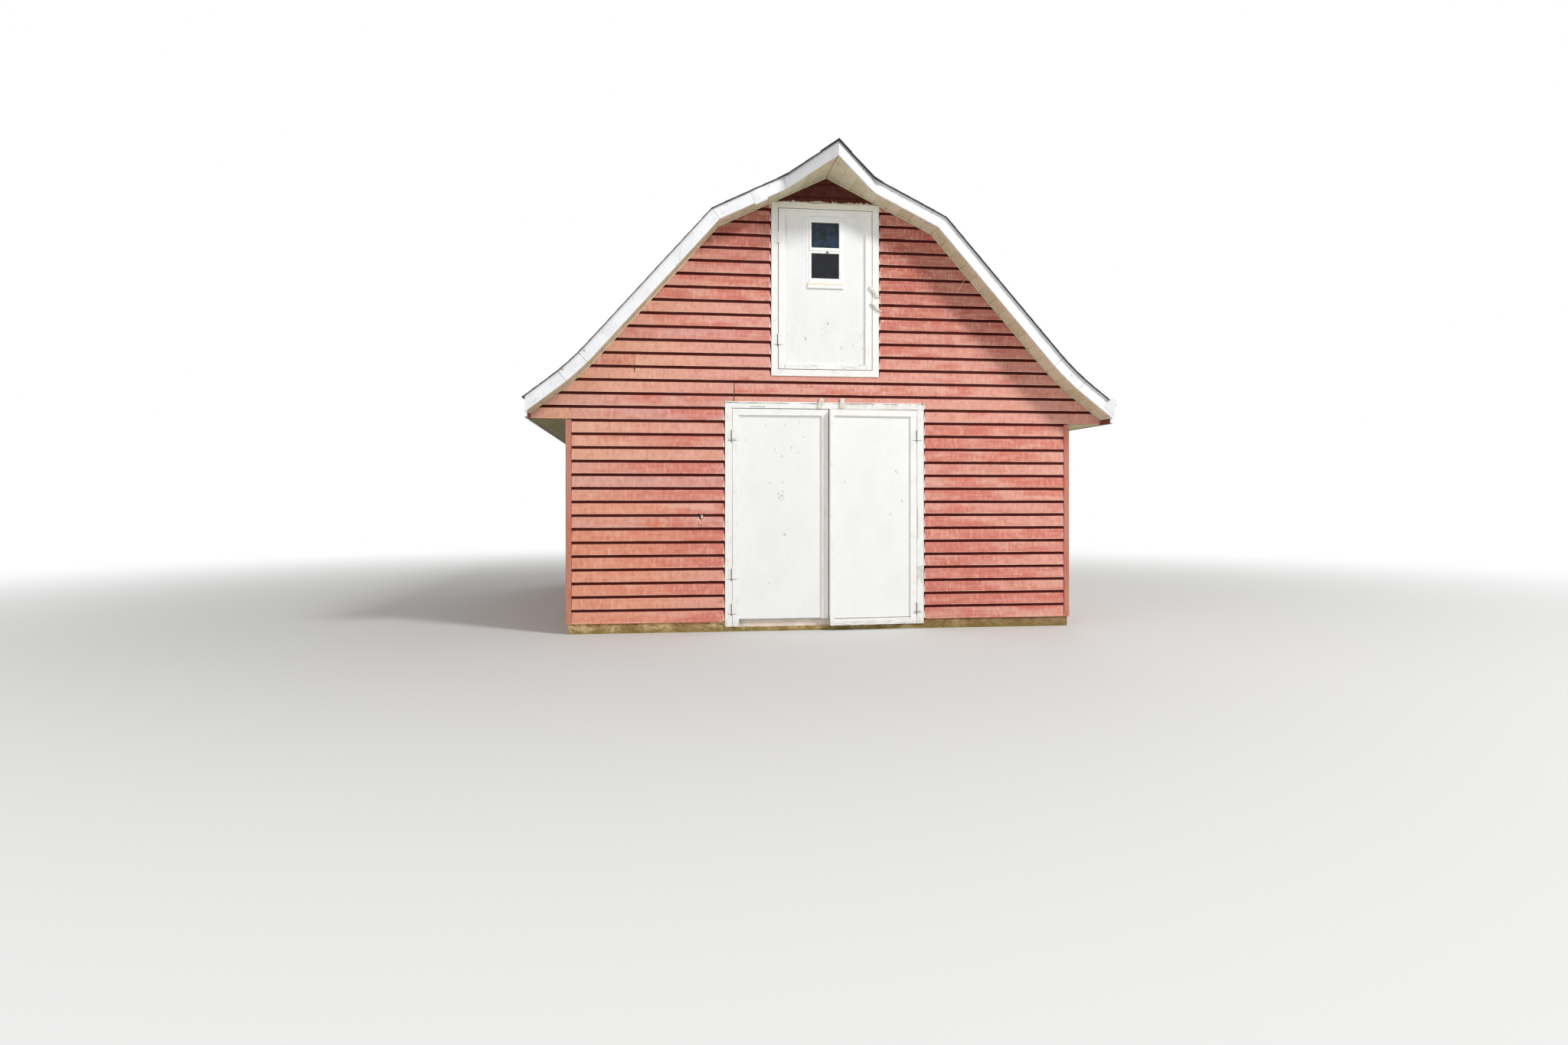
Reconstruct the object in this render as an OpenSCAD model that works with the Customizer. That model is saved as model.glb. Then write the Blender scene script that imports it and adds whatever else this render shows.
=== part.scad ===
// Small gambrel-roofed barn with flared eaves, a peaked hay hood and a pair of outswinging doors.
// The front wall faces -Y and +X is to the right of a person who faces it.
// The ground is z = 0 and the origin is under the middle of the roof's outline.

/* [Walls] */
// Width over the wall frames
frame_w = 4877; // [4200:1:5600]
// Length over the wall frames
frame_d = 6096; // [4800:1:7600]
// Depth of a wall stud
stud_d = 89; // [75:1:140]
// Thickness of the wall sheathing
sheath_t = 11; // [8:1:19]
// Spacing of the wall studs
stud_step = 406; // [300:1:610]
// Height of the concrete under the siding, above the ground
siding_z = 94; // [80:1:150]
// Height of the floor slab above the ground
slab_z = 40; // [20:1:60]
// Height of the eave soffit above the foot of the siding
eave_h = 1905; // [1700:1:2150]

/* [Siding] */
// Exposed height of a course of lap siding
course_h = 127; // [100:1:200]
// Thickness of a siding board at its lower edge
siding_butt = 13; // [9:1:18]
// Thickness of a siding board at its upper edge
siding_top = 5; // [3:1:8]
// Face width of a corner board
corner_w = 58; // [40:1:100]
// Thickness of a corner board
corner_t = 16; // [14:1:25]

/* [Roof] */
// Half width of the roof between its two knees
knee_x = 1040; // [900:1:1150]
// Pitch of the upper slope
upper_pitch = 25.95; // [20:0.05:30]
// Pitch of the lower slope
lower_pitch = 48.3; // [45:0.1:52]
// Pitch of the flared eave
flare_pitch = 37.5; // [34:0.1:40]
// Radius of the bend into the flare
flare_r = 2600; // [1500:10:3200]
// Run from the eave fascia's inner face in to the start of the flare
flare_run = 453; // [400:1:500]
// Overhang of the eave soffit beyond the wall frame
eave_over = 336.5; // [300:0.5:400]
// Height of the rake soffit above the eave soffit at its low end
tip_h = 60; // [40:1:90]
// Overhang of the rake beyond the corner boards
rake_over = 250; // [150:1:400]
// Reach of the hay hood beyond the rake
hood_reach = 391; // [250:1:500]
// Half width of the hay hood where it leaves the rake
hood_x = 420; // [300:1:600]
// Thickness of the soffit boards
soffit_t = 10; // [6:1:16]
// Depth of a rafter
rafter_h = 89; // [80:1:140]
// Thickness of the roof deck
deck_t = 15; // [12:1:20]
// Thickness of the shingle layer
shingle_t = 12; // [8:1:18]
// Overhang of the shingles beyond the fascia
drip = 22; // [10:1:35]
// Thickness of a fascia board
fascia_t = 20; // [16:1:30]
// Drop of the eave fascia below the eave soffit
fascia_drop = 6; // [2:1:20]
// Face height of the strip under the rake soffit
mould_h = 25; // [15:1:40]
// Thickness of the strip under the rake soffit
mould_t = 14; // [8:1:20]
// Thickness of rafters, joists, studs, plates and the ridge board
timber_t = 38; // [34:1:50]
// Depth of the rafters' notch over the top plates
plate_notch = 15; // [8:1:25]
// Spacing of the rafters and joists
rafter_step = 610; // [400:1:650]
// Drop of the ridge board below the rafters
ridge_drop = 40; // [0:1:80]
// Depth of a loft joist
joist_h = 140; // [120:1:190]
// Thickness of the loft floor
floor_t = 15; // [12:1:22]

/* [Double doors] */
// Half width of the doorway between its casings
door_half = 906; // [850:1:950]
// Offset of the doorway from the middle of the wall
door_off = -3; // [-30:1:30]
// Height of the leaves' heads above the eave soffit
leaf_rise = 120; // [0:1:150]
// Reach of the leaves below the foot of the siding
leaf_drop = 45; // [20:1:48]
// Gap between a leaf and the casing
leaf_gap = 6; // [5:1:9]
// Gap between the two leaves
meet_gap = 8; // [7:1:12]
// Offset of the meeting gap from the middle of the wall
meet_x = 25; // [-40:1:60]
// Face width of casings and door stiles
board_w = 63; // [50:1:90]
// Thickness of casings, stiles and rails
board_t = 19; // [16:1:25]
// Face width of the right leaf's meeting stile
narrow_w = 38; // [30:1:60]
// Face height of a leaf's top rail
top_rail_h = 60; // [45:1:90]
// Face height of the right leaf's bottom rail
bottom_rail_h = 60; // [45:1:90]
// Thickness of a leaf's panel
panel_t = 16; // [12:1:19]
// Height of the left panel's lower end above the foot of the siding
panel_lift = 20; // [0:1:60]
// Angle at which the right leaf stands ajar
ajar = 4; // [0:0.5:8]
// Height of the battens on the back of a leaf
batten_h = 89; // [60:1:120]
// Setback of the threshold board behind the panels' face
sill_back = 34; // [30:1:60]
// Thickness of the threshold board
sill_t = 38; // [30:1:60]
// Height of the threshold board above the foot of the siding
sill_rise = 25; // [5:1:60]

/* [Hinges] */
// Height of a hinge
hinge_h = 102; // [80:1:120]
// Face width of a hinge plate
hinge_w = 34; // [25:1:45]
// Thickness of a hinge plate
hinge_t = 2.5; // [2:0.5:4]
// Radius of a hinge barrel
barrel_r = 6; // [5:0.5:8]
// Stand of a hinge barrel before the trim's face
barrel_stand = 1; // [0.5:0.1:1.5]
// Radius of a hinge pin
pin_r = 3.5; // [2.5:0.5:4]
// Radial play of a barrel on its pin
pin_play = 0.05; // [0.02:0.01:0.1]
// Gap between the knuckles of a hinge
knuckle_gap = 0.4; // [0.2:0.1:1]
// Heights of the left leaf's two lower hinges above its foot
left_low_hinges = [168, 499]; // [100:1:900]
// Drop of the left leaf's upper hinge below its head
left_hinge_drop = 255; // [100:1:400]
// Height of the right leaf's lower hinge above its foot
right_low_hinge = 153; // [100:1:400]
// Drop of the right leaf's upper hinge below its head
right_hinge_drop = 242; // [100:1:400]

/* [Loft door] */
// Half width of the loft door
loft_half = 455; // [400:1:500]
// Offset of the loft door from the middle of the wall
loft_off = -6; // [-30:1:30]
// Height of the loft door's lower edge above the eave soffit
loft_rise = 507; // [470:1:560]
// Drop of the loft door's head below the soffit's ridge
loft_drop = 314; // [300:1:400]
// Height of the loft door's lower hinge above its lower edge
loft_low_hinge = 278; // [150:1:400]
// Drop of the loft door's upper hinge below its head
loft_hinge_drop = 224; // [150:1:400]
// Face height of the loft door's bottom rail
loft_bottom_rail = 49; // [40:1:90]
// Width of the window frame
window_w = 318; // [250:1:400]
// Height of the window frame
window_h = 640; // [500:1:700]
// Gap between the window's trim and the loft door's top rail
window_gap = 1; // [0.5:0.5:20]
// Offset of the window from the middle of the wall
window_off = -6; // [-40:1:40]
// Face width of the window frame
sash_w = 24; // [15:1:40]
// Face width of the trim round the window
window_trim = 24; // [15:1:40]
// Face height of the window's meeting rail
meet_rail = 37; // [20:1:50]
// Height of the meeting rail's middle above the middle of the window
meet_rail_up = 14; // [-40:1:40]
// Thickness of the glass
glass_t = 4; // [3:1:6]

/* [Turn buttons] */
// Length of a turn button on the double doors' head casing
button_l = 88; // [60:1:100]
// Face width of a turn button
button_w = 32; // [20:1:45]
// Thickness of a turn button
button_t = 19; // [12:1:25]
// Offsets of the head casing's turn buttons from the middle of the wall
button_xs = [-55, 152]; // [-400:1:400]
// Clearance of the head casing's turn buttons above the leaves
button_clear = 7; // [6:0.5:15]
// Tilts of the head casing's turn buttons
button_tilts = [20, 9]; // [-45:1:45]
// Length of a turn button on the loft door
loft_button_l = 122; // [90:1:150]
// Heights of the loft door's turn buttons above its lower edge
loft_buttons = [716, 586]; // [300:1:1200]
// Tilt of the loft door's turn buttons
loft_button_tilt = -49; // [-90:1:0]

/* [Hidden] */

barn_red = [0.66, 0.27, 0.22];
paint_white = [0.93, 0.93, 0.90];
soffit_cream = [0.80, 0.74, 0.60];
shingle_grey = [0.16, 0.16, 0.17];
raw_wood = [0.72, 0.58, 0.40];
concrete = [0.62, 0.60, 0.54];
zinc = [0.80, 0.80, 0.78];

// Stations along X, out to the face of the eave fascia and the edge of the shingles
half_w = frame_w / 2;
tip_x = half_w + eave_over;
eave_out = tip_x + fascia_t;
shingle_out = eave_out + drip;

// The soffit's line climbs from the eave over the flare and the knee to the ridge
bend_x = tip_x - flare_run;
knee_h = tip_h + flare_run * tan(flare_pitch) + (bend_x - knee_x) * tan(lower_pitch);
apex_h = knee_h + knee_x * tan(upper_pitch);

// Layers of the roof, measured square to the soffit's plane
rafter_foot = soffit_t;
deck_foot = rafter_foot + rafter_h;
fascia_h = deck_foot + deck_t;
shingle_head = fascia_h + shingle_t;
cap_z = 3000;

// Heights above the ground, and of the top plates above the eave soffit
eave_z = siding_z + eave_h;
plate_rise = round(flare_z(half_w, rafter_foot)) + plate_notch;
plate_z = eave_z + plate_rise;
leaf_foot = siding_z - leaf_drop;
leaf_head = eave_z + leaf_rise;
casing_foot = leaf_head + leaf_gap;
loft_foot = eave_z + loft_rise;
loft_head = eave_z + round(apex_h) - loft_drop;
window_head = loft_head - board_w - window_gap - window_trim;
left_hinge_zs = concat([for (h = left_low_hinges) leaf_foot + h], [leaf_head - left_hinge_drop]);
right_hinge_zs = [leaf_foot + right_low_hinge, leaf_head - right_hinge_drop];
loft_hinge_zs = [loft_foot + loft_low_hinge, loft_head - loft_hinge_drop];

// Stations along Y: the corner boards' front face, then the frames' faces
hood_l = sqrt(hood_x * hood_x + hood_reach * hood_reach);
front_y = round(hood_reach + drip * hood_l / hood_x - drip - frame_d) / 2 - corner_t;
core_y = front_y + corner_t;
wall_t = stud_d + sheath_t;
core_in = core_y + wall_t;
back_y = core_y + frame_d;
back_in = back_y - wall_t;
rear_y = back_y + corner_t;
rake_y = front_y - rake_over;
rake_back = rear_y + rake_over;
hood_y = rake_y - hood_reach;
trim_y = core_y - board_t;

function tip_z(d) = tip_h + d / cos(flare_pitch);
function upper_z(x, d) = apex_h + d / cos(upper_pitch) - x * tan(upper_pitch);
function lower_0(d) = upper_z(knee_x, 0) + knee_x * tan(lower_pitch) + d / cos(lower_pitch);
function flare_0(d) = tip_z(d) + tip_x * tan(flare_pitch);
function flare_z(x, d) = flare_0(d) - x * tan(flare_pitch);

// Where the upper slope meets the lower slope, d outside the soffit's plane
function knee(d) =
    let (x = (lower_0(d) - upper_z(0, d)) / (tan(lower_pitch) - tan(upper_pitch)))
    [x, upper_z(x, d)];

// The bend into the flare is an arc about one centre, whatever the layer
bend_run = flare_r * tan((lower_pitch - flare_pitch) / 2);
bend_centre = [
    bend_x - bend_run * cos(lower_pitch) + flare_r * sin(lower_pitch),
    flare_z(bend_x, 0) + bend_run * sin(lower_pitch) + flare_r * cos(lower_pitch)
];
bend_steps = 6;
function bend(d) = [
    for (i = [0 : bend_steps])
        let (a = lower_pitch + (flare_pitch - lower_pitch) * i / bend_steps)
        bend_centre - (flare_r - d) * [sin(a), cos(a)]
];

// The right half of the roof's outline, d outside the soffit, out to x_out
function upper_line(d) = [[0, upper_z(0, d)], knee(d)];
function lower_line(d, x_out) = concat(
    [knee(d)],
    bend(d),
    [for (x = [tip_x, eave_out, shingle_out]) if (x <= x_out) [x, flare_z(x, d)]]
);
function half_line(d, x_out) = concat([[0, upper_z(0, d)]], lower_line(d, x_out));
function reversed(p) = [for (i = [len(p) - 1 : -1 : 0]) p[i]];

// The whole outline from eave to eave
function full_line(d, x_out) = concat(
    [for (q = reversed(lower_line(d, x_out))) [-q[0], q[1]]],
    half_line(d, x_out)
);

// A drawing in X and Z, from the eave soffit's level, made solid from y0 to y1
module across(y0, y1) {
    translate([0, y1, eave_z])
        rotate([90, 0, 0])
            linear_extrude(y1 - y0)
                children();
}

// A drawing in X and Y made a tall solid, to cut shapes to their plan
module plan_prism() {
    translate([0, 0, eave_z - cap_z])
        linear_extrude(2 * cap_z)
            children();
}

module box(x0, x1, y0, y1, z0, z1) {
    translate([x0, y0, z0])
        cube([x1 - x0, y1 - y0, z1 - z0]);
}

// One layer of the right half of the roof, and of the whole roof
module half_layer(d0, d1, x_out) {
    polygon(concat(half_line(d0, x_out), reversed(half_line(d1, x_out))));
}

module full_layer(d0, d1, x_out) {
    polygon(concat(full_line(d0, x_out), reversed(full_line(d1, x_out))));
}

module both_sides() {
    children();
    mirror([1, 0, 0]) children();
}

// Everything under a layer of the roof, down to the eave soffit
module under_roof(d, x_out) {
    polygon(concat([[-x_out, 0]], full_line(d, x_out), [[x_out, 0]]));
}

// Foundation: a slab with a curb under the walls, open at the doorway
module foundation() {
    color(concrete)
        difference() {
            box(-half_w, half_w, core_y, back_y, 0, siding_z);
            box(wall_t - half_w, half_w - wall_t, core_in, back_in, slab_z, siding_z + 1);
            box(door_off - door_half, door_off + door_half, core_y - 1, core_in + 1,
                slab_z, siding_z + 1);
        }
}

// Drawing of the hollows between the studs of a frame that runs from x0 to x1
module stud_bays(x0, x1, z0, z1) {
    bays = ceil((x1 - x0 - timber_t) / stud_step);
    pitch = (x1 - x0 - timber_t) / bays;
    for (i = [0 : bays - 1])
        translate([x0 + timber_t + i * pitch, z0])
            square([pitch - timber_t, z1 - z0]);
}

// A long wall: sheathing outside, studs, a bottom plate and two top plates
module long_wall() {
    color(raw_wood)
        difference() {
            box(half_w - wall_t, half_w, core_in, back_in, siding_z, plate_z);
            translate([half_w - wall_t - 1, 0, 0])
                rotate([90, 0, 90])
                    linear_extrude(stud_d + 1)
                        stud_bays(core_in, back_in, siding_z + timber_t, plate_z - 2 * timber_t);
        }
}

module left_wall() {
    mirror([1, 0, 0]) long_wall();
}

module right_wall() {
    long_wall();
}

// The part of the front wall from x0 to x1, with one top plate at the eave
module front_wall(x0, x1) {
    color(raw_wood)
        difference() {
            box(x0, x1, core_y, core_in, siding_z, eave_z);
            across(core_y + sheath_t, core_in + 1)
                stud_bays(x0, x1, timber_t - eave_h, -timber_t);
        }
}

module front_wall_left() {
    front_wall(-half_w, door_off - door_half);
}

module front_wall_right() {
    front_wall(door_off + door_half, half_w);
}

module front_wall_band() {
    color(raw_wood)
        box(door_off - door_half, door_off + door_half, core_y, core_in,
            casing_foot, loft_foot - leaf_gap);
}

// Outline of a gable frame, with its ends closing the eave boxes
module gable_outline() {
    difference() {
        under_roof(deck_foot, tip_x);
        both_sides() translate([half_w, -1]) square([tip_x, soffit_t + 1]);
    }
}

module loft_hole(grow) {
    translate([loft_off - loft_half - grow, loft_foot - eave_z - grow])
        square([2 * (loft_half + grow), loft_head - loft_foot + 2 * grow]);
}

// The header's place over the doorway, up to the loft door
module header_place(grow) {
    translate([door_off - door_half - grow, -1])
        square([2 * (door_half + grow), loft_foot - leaf_gap - eave_z + grow + 1]);
}

// Hollows of a gable frame, over its bottom plate and under its end rafters
module gable_bays() {
    intersection() {
        stud_bays(-half_w, half_w, timber_t, cap_z);
        under_roof(rafter_foot, tip_x);
    }
}

// Hollows of the front gable, which has timbers round the loft door and the header
module front_gable_bays() {
    across(core_y + sheath_t, core_in + 1)
        difference() {
            gable_bays();
            loft_hole(leaf_gap + timber_t);
            header_place(timber_t);
        }
}

module front_gable_side(side) {
    cut = loft_off + side * (loft_half + leaf_gap);
    far = cut + side * cap_z;
    color(raw_wood)
        difference() {
            across(core_y, core_in)
                difference() {
                    intersection() {
                        gable_outline();
                        translate([min(cut, far), 0]) square([cap_z, cap_z]);
                    }
                    header_place(0);
                }
            front_gable_bays();
        }
}

module front_gable_left() {
    front_gable_side(-1);
}

module front_gable_right() {
    front_gable_side(1);
}

module front_gable_peak() {
    color(raw_wood)
        difference() {
            across(core_y, core_in)
                intersection() {
                    gable_outline();
                    translate([loft_off - loft_half - leaf_gap, loft_head + leaf_gap - eave_z])
                        square([2 * (loft_half + leaf_gap), cap_z]);
                }
            front_gable_bays();
        }
}

module back_wall() {
    color(raw_wood)
        difference() {
            box(-half_w, half_w, back_in, back_y, siding_z, eave_z);
            across(back_in - 1, back_y - sheath_t)
                stud_bays(-half_w, half_w, timber_t - eave_h, -timber_t);
        }
}

module back_gable() {
    color(raw_wood)
        difference() {
            across(back_in, back_y) gable_outline();
            across(back_in - 1, back_y - sheath_t) gable_bays();
        }
}

// Lap siding from z0 to z1 above its foot: one sawtooth step a course, thick at the lower edge
module lap_profile(z0, z1) {
    courses = ceil(z1 / course_h);
    steps = [
        for (i = [0 : courses - 1])
            for (p = [[siding_butt, i * course_h], [siding_top, (i + 1) * course_h]]) p
    ];
    intersection() {
        polygon(concat([[0, 0]], steps, [[0, courses * course_h]]));
        translate([0, z0]) square([siding_butt, z1 - z0]);
    }
}

// A band of lap siding along X on a wall that faces -Y
module lap_band(x0, x1, z0, z1) {
    translate([x0, core_y, siding_z])
        rotate([90, 0, 90])
            mirror([1, 0, 0])
                linear_extrude(x1 - x0)
                    lap_profile(z0, z1);
}

siding_half = half_w + corner_t - corner_w;

module siding_front() {
    color(barn_red) {
        lap_band(-siding_half, door_off - door_half - board_w, 0, eave_h);
        lap_band(door_off + door_half + board_w, siding_half, 0, eave_h);
    }
}

module siding_front_gable() {
    color(barn_red)
        difference() {
            intersection() {
                lap_band(-tip_x, tip_x, eave_h, eave_h + apex_h);
                across(core_y - wall_t, core_y) under_roof(0, tip_x);
            }
            box(door_off - door_half - board_w, door_off + door_half + board_w,
                core_y - wall_t, core_y + wall_t, eave_z - 1, casing_foot + board_w);
            box(loft_off - loft_half - leaf_gap - board_w, loft_off + loft_half + leaf_gap + board_w,
                core_y - wall_t, core_y + wall_t,
                loft_foot - leaf_gap - board_w, loft_head + leaf_gap + board_w);
        }
}

// Siding on the two long walls
module siding_sides() {
    color(barn_red)
        both_sides()
            translate([half_w, 0, siding_z])
                rotate([90, 0, 0])
                    translate([0, 0, -(rear_y - corner_w)])
                        linear_extrude(rear_y - front_y - 2 * corner_w)
                            lap_profile(0, eave_h);
}

module siding_back() {
    color(barn_red)
        translate([0, core_y + back_y, 0])
            mirror([0, 1, 0])
                intersection() {
                    lap_band(-tip_x, tip_x, 0, eave_h + apex_h);
                    across(core_y - wall_t, core_y)
                        polygon(concat(
                            [[-siding_half, -eave_h], [-siding_half, 0], [-tip_x, 0]],
                            full_line(0, tip_x),
                            [[tip_x, 0], [siding_half, 0], [siding_half, -eave_h]]
                        ));
                }
}

// A corner board is an L of two boards that wraps the corner of the frames
module corner_board() {
    outer = half_w + corner_t;
    translate([0, 0, siding_z])
        linear_extrude(eave_h)
            difference() {
                translate([outer - corner_w, front_y]) square(corner_w);
                translate([half_w - corner_w, core_y]) square(corner_w);
            }
}

module corner_boards() {
    color(barn_red)
        both_sides() {
            corner_board();
            translate([0, front_y + rear_y, 0]) mirror([0, 1, 0]) corner_board();
        }
}

// Timbers stand at even steps between the two gable frames
timber_run = back_in - core_in - timber_t;
timber_gaps = ceil(timber_run / rafter_step);
timber_ys = [for (i = [0 : timber_gaps]) core_in + i * timber_run / timber_gaps];

module each_timber() {
    for (y = timber_ys)
        across(y, y + timber_t) children();
}

module loft_joists() {
    color(raw_wood)
        each_timber()
            intersection() {
                translate([-half_w, plate_rise]) square([frame_w, joist_h]);
                under_roof(rafter_foot, tip_x);
            }
}

module loft_floor() {
    color(raw_wood)
        across(core_in, back_in)
            intersection() {
                translate([-half_w, plate_rise + joist_h]) square([frame_w, floor_t]);
                under_roof(rafter_foot, tip_x);
            }
}

// The ridge board's place, between the upper rafters of the two sides
module ridge_place() {
    translate([-timber_t / 2, upper_z(0, rafter_foot) - ridge_drop])
        square([timber_t, cap_z]);
}

module ridge_board() {
    color(raw_wood)
        across(core_in, back_in)
            intersection() {
                ridge_place();
                under_roof(deck_foot, tip_x);
            }
}

module rafters_upper() {
    color(raw_wood)
        each_timber()
            both_sides()
                difference() {
                    polygon(concat(upper_line(rafter_foot), reversed(upper_line(deck_foot))));
                    ridge_place();
                }
}

// The lower rafters are notched over the top plates
module rafters_lower() {
    color(raw_wood)
        each_timber()
            both_sides()
                difference() {
                    polygon(concat(
                        lower_line(rafter_foot, tip_x),
                        reversed(lower_line(deck_foot, tip_x))
                    ));
                    translate([half_w - wall_t, 0]) square([wall_t, plate_rise]);
                }
}

// Plan of the right half of the front edge, t behind the face of the fascia boards
function half_front(t, x_out) = [
    [0, hood_y + t * hood_l / hood_x],
    [hood_x + t * (hood_x - hood_l) / hood_reach, rake_y + t],
    [x_out, rake_y + t]
];

function whole_front(t, x_out) = concat(
    [for (i = [2, 1]) [-half_front(t, x_out)[i][0], half_front(t, x_out)[i][1]]],
    half_front(t, x_out)
);

// Half of a layer, with its share of the hay hood
module roof_layer(d0, d1, t, x_out) {
    intersection() {
        across(hood_y - hood_reach, rake_back - t) half_layer(d0, d1, x_out);
        plan_prism()
            polygon(concat(
                half_front(t, x_out),
                [[x_out, rake_back - t], [0, rake_back - t]]
            ));
    }
}

module roof_deck_right() {
    color(raw_wood) roof_layer(deck_foot, fascia_h, fascia_t, tip_x);
}

module roof_deck_left() {
    color(raw_wood) mirror([1, 0, 0]) roof_layer(deck_foot, fascia_h, fascia_t, tip_x);
}

module shingles_right() {
    color(shingle_grey) roof_layer(fascia_h, shingle_head, -drip, shingle_out);
}

module shingles_left() {
    color(shingle_grey)
        mirror([1, 0, 0]) roof_layer(fascia_h, shingle_head, -drip, shingle_out);
}

module rake_fascia_front() {
    color(paint_white)
        intersection() {
            across(hood_y, core_y) full_layer(0, fascia_h, eave_out);
            plan_prism()
                polygon(concat(
                    whole_front(0, eave_out),
                    reversed(whole_front(fascia_t, eave_out))
                ));
        }
}

module rake_fascia_back() {
    color(paint_white)
        across(rake_back - fascia_t, rake_back) full_layer(0, fascia_h, eave_out);
}

module rake_soffit_front() {
    color(soffit_cream)
        intersection() {
            across(hood_y, core_y) full_layer(0, soffit_t, tip_x);
            plan_prism()
                polygon(concat(
                    whole_front(fascia_t, tip_x),
                    [[tip_x, core_y], [-tip_x, core_y]]
                ));
        }
}

module rake_soffit_back() {
    color(soffit_cream)
        across(back_y, rake_back - fascia_t) full_layer(0, soffit_t, tip_x);
}

module eave_fascias() {
    color(paint_white)
        across(rake_y + fascia_t, rake_back - fascia_t)
            both_sides()
                polygon([
                    [tip_x, -fascia_drop],
                    [eave_out, -fascia_drop],
                    [eave_out, flare_z(eave_out, fascia_h)],
                    [tip_x, flare_z(tip_x, fascia_h)]
                ]);
}

module eave_soffits() {
    color(soffit_cream)
        both_sides()
            box(half_w, tip_x, core_y, back_y, eave_z, eave_z + soffit_t);
}

module soffit_strips() {
    color(soffit_cream) {
        across(core_y - siding_butt - mould_t, core_y - siding_butt)
            full_layer(-mould_h, 0, tip_x);
        across(back_y + siding_butt, back_y + siding_butt + mould_t)
            full_layer(-mould_h, 0, tip_x);
    }
}

// Double doors
module door_casing() {
    color(paint_white)
        translate([0, core_y, 0])
            rotate([90, 0, 0])
                linear_extrude(board_t)
                    difference() {
                        translate([door_off - door_half - board_w, leaf_foot])
                            square([2 * (door_half + board_w), casing_foot + board_w - leaf_foot]);
                        translate([door_off - door_half, leaf_foot - 1])
                            square([2 * door_half, casing_foot - leaf_foot + 1]);
                    }
}

module door_threshold() {
    color([0.55, 0.50, 0.42])
        box(door_off - door_half, door_off + door_half, core_y + sill_back,
            core_y + sill_back + sill_t, slab_z, siding_z + sill_rise);
}

left_x0 = door_off - door_half + leaf_gap;
left_x1 = meet_x - meet_gap / 2;
right_x0 = meet_x + meet_gap / 2;
right_x1 = door_off + door_half - leaf_gap;
axis_l = left_x0 - leaf_gap / 2;
axis_r = right_x1 + leaf_gap / 2;
axis_y = trim_y - barrel_stand - barrel_r;

// The right leaf stands ajar about its hinge pins
module stood_ajar() {
    translate([axis_r, axis_y, 0])
        rotate([0, 0, ajar])
            translate([-axis_r, -axis_y, 0])
                children();
}

module left_door_panel() {
    color(paint_white)
        box(left_x0, left_x1, core_y, core_y + panel_t, siding_z + panel_lift, leaf_head);
}

module left_door_frame() {
    color(paint_white)
        translate([0, core_y, 0])
            rotate([90, 0, 0])
                linear_extrude(board_t)
                    difference() {
                        translate([left_x0, leaf_foot])
                            square([left_x1 - left_x0, leaf_head - leaf_foot]);
                        translate([left_x0 + board_w, leaf_foot - 1])
                            square([left_x1 - left_x0 - 2 * board_w,
                                leaf_head - top_rail_h - leaf_foot + 1]);
                    }
}

module battens(x0, x1) {
    for (k = [0, 1, 2])
        translate([0, 0, k * (leaf_head - siding_z - 3 * batten_h) / 2])
            box(x0 + board_w, x1 - board_w, core_y + panel_t, core_y + panel_t + board_t,
                siding_z + batten_h, siding_z + 2 * batten_h);
}

module left_door_battens() {
    color(raw_wood) battens(left_x0, left_x1);
}

module right_door_panel() {
    color(paint_white)
        stood_ajar()
            box(right_x0, right_x1, core_y, core_y + panel_t, leaf_foot, leaf_head);
}

module right_door_frame() {
    color(paint_white)
        stood_ajar()
            translate([0, core_y, 0])
                rotate([90, 0, 0])
                    linear_extrude(board_t)
                        difference() {
                            translate([right_x0, leaf_foot])
                                square([right_x1 - right_x0, leaf_head - leaf_foot]);
                            translate([right_x0 + narrow_w, leaf_foot + bottom_rail_h])
                                square([right_x1 - right_x0 - narrow_w - board_w,
                                    leaf_head - leaf_foot - top_rail_h - bottom_rail_h]);
                        }
}

module right_door_battens() {
    color(raw_wood) stood_ajar() battens(right_x0, right_x1);
}

// A butt hinge has five knuckles: the fixed plate carries three and the pin
knuckle_h = hinge_h / 5;

module hinge_plate(side, first) {
    far = side * hinge_w;
    translate([min(0, far), barrel_r + barrel_stand - hinge_t, -hinge_h / 2])
        cube([hinge_w, hinge_t, hinge_h]);
    for (k = [first : 2 : 4])
        translate([0, 0, k * knuckle_h - hinge_h / 2 + knuckle_gap / 2])
            cylinder(h = knuckle_h - knuckle_gap, r = barrel_r, $fn = 32);
}

module knuckle_room(first) {
    for (k = [first : 2 : 4])
        translate([0, 0, k * knuckle_h - hinge_h / 2 - knuckle_gap / 2])
            cylinder(h = knuckle_h + knuckle_gap, r = barrel_r + barrel_stand + knuckle_gap,
                $fn = 32);
}

module fixed_hinge(side) {
    difference() {
        hinge_plate(side, 0);
        knuckle_room(1);
    }
    translate([0, 0, -hinge_h / 2]) cylinder(h = hinge_h, r = pin_r, $fn = 32);
}

module swing_hinge(side) {
    difference() {
        hinge_plate(side, 1);
        knuckle_room(0);
        translate([0, 0, -hinge_h]) cylinder(h = 2 * hinge_h, r = pin_r + pin_play, $fn = 32);
    }
}

module at_hinges(x, zs) {
    for (z = zs)
        translate([x, axis_y, z]) children();
}

module door_hinge_plates() {
    color(zinc) {
        at_hinges(axis_l, left_hinge_zs) fixed_hinge(-1);
        at_hinges(axis_r, right_hinge_zs) fixed_hinge(1);
    }
}

module left_door_hinges() {
    color(zinc) at_hinges(axis_l, left_hinge_zs) swing_hinge(1);
}

module right_door_hinges() {
    color(zinc) stood_ajar() at_hinges(axis_r, right_hinge_zs) swing_hinge(-1);
}

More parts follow.
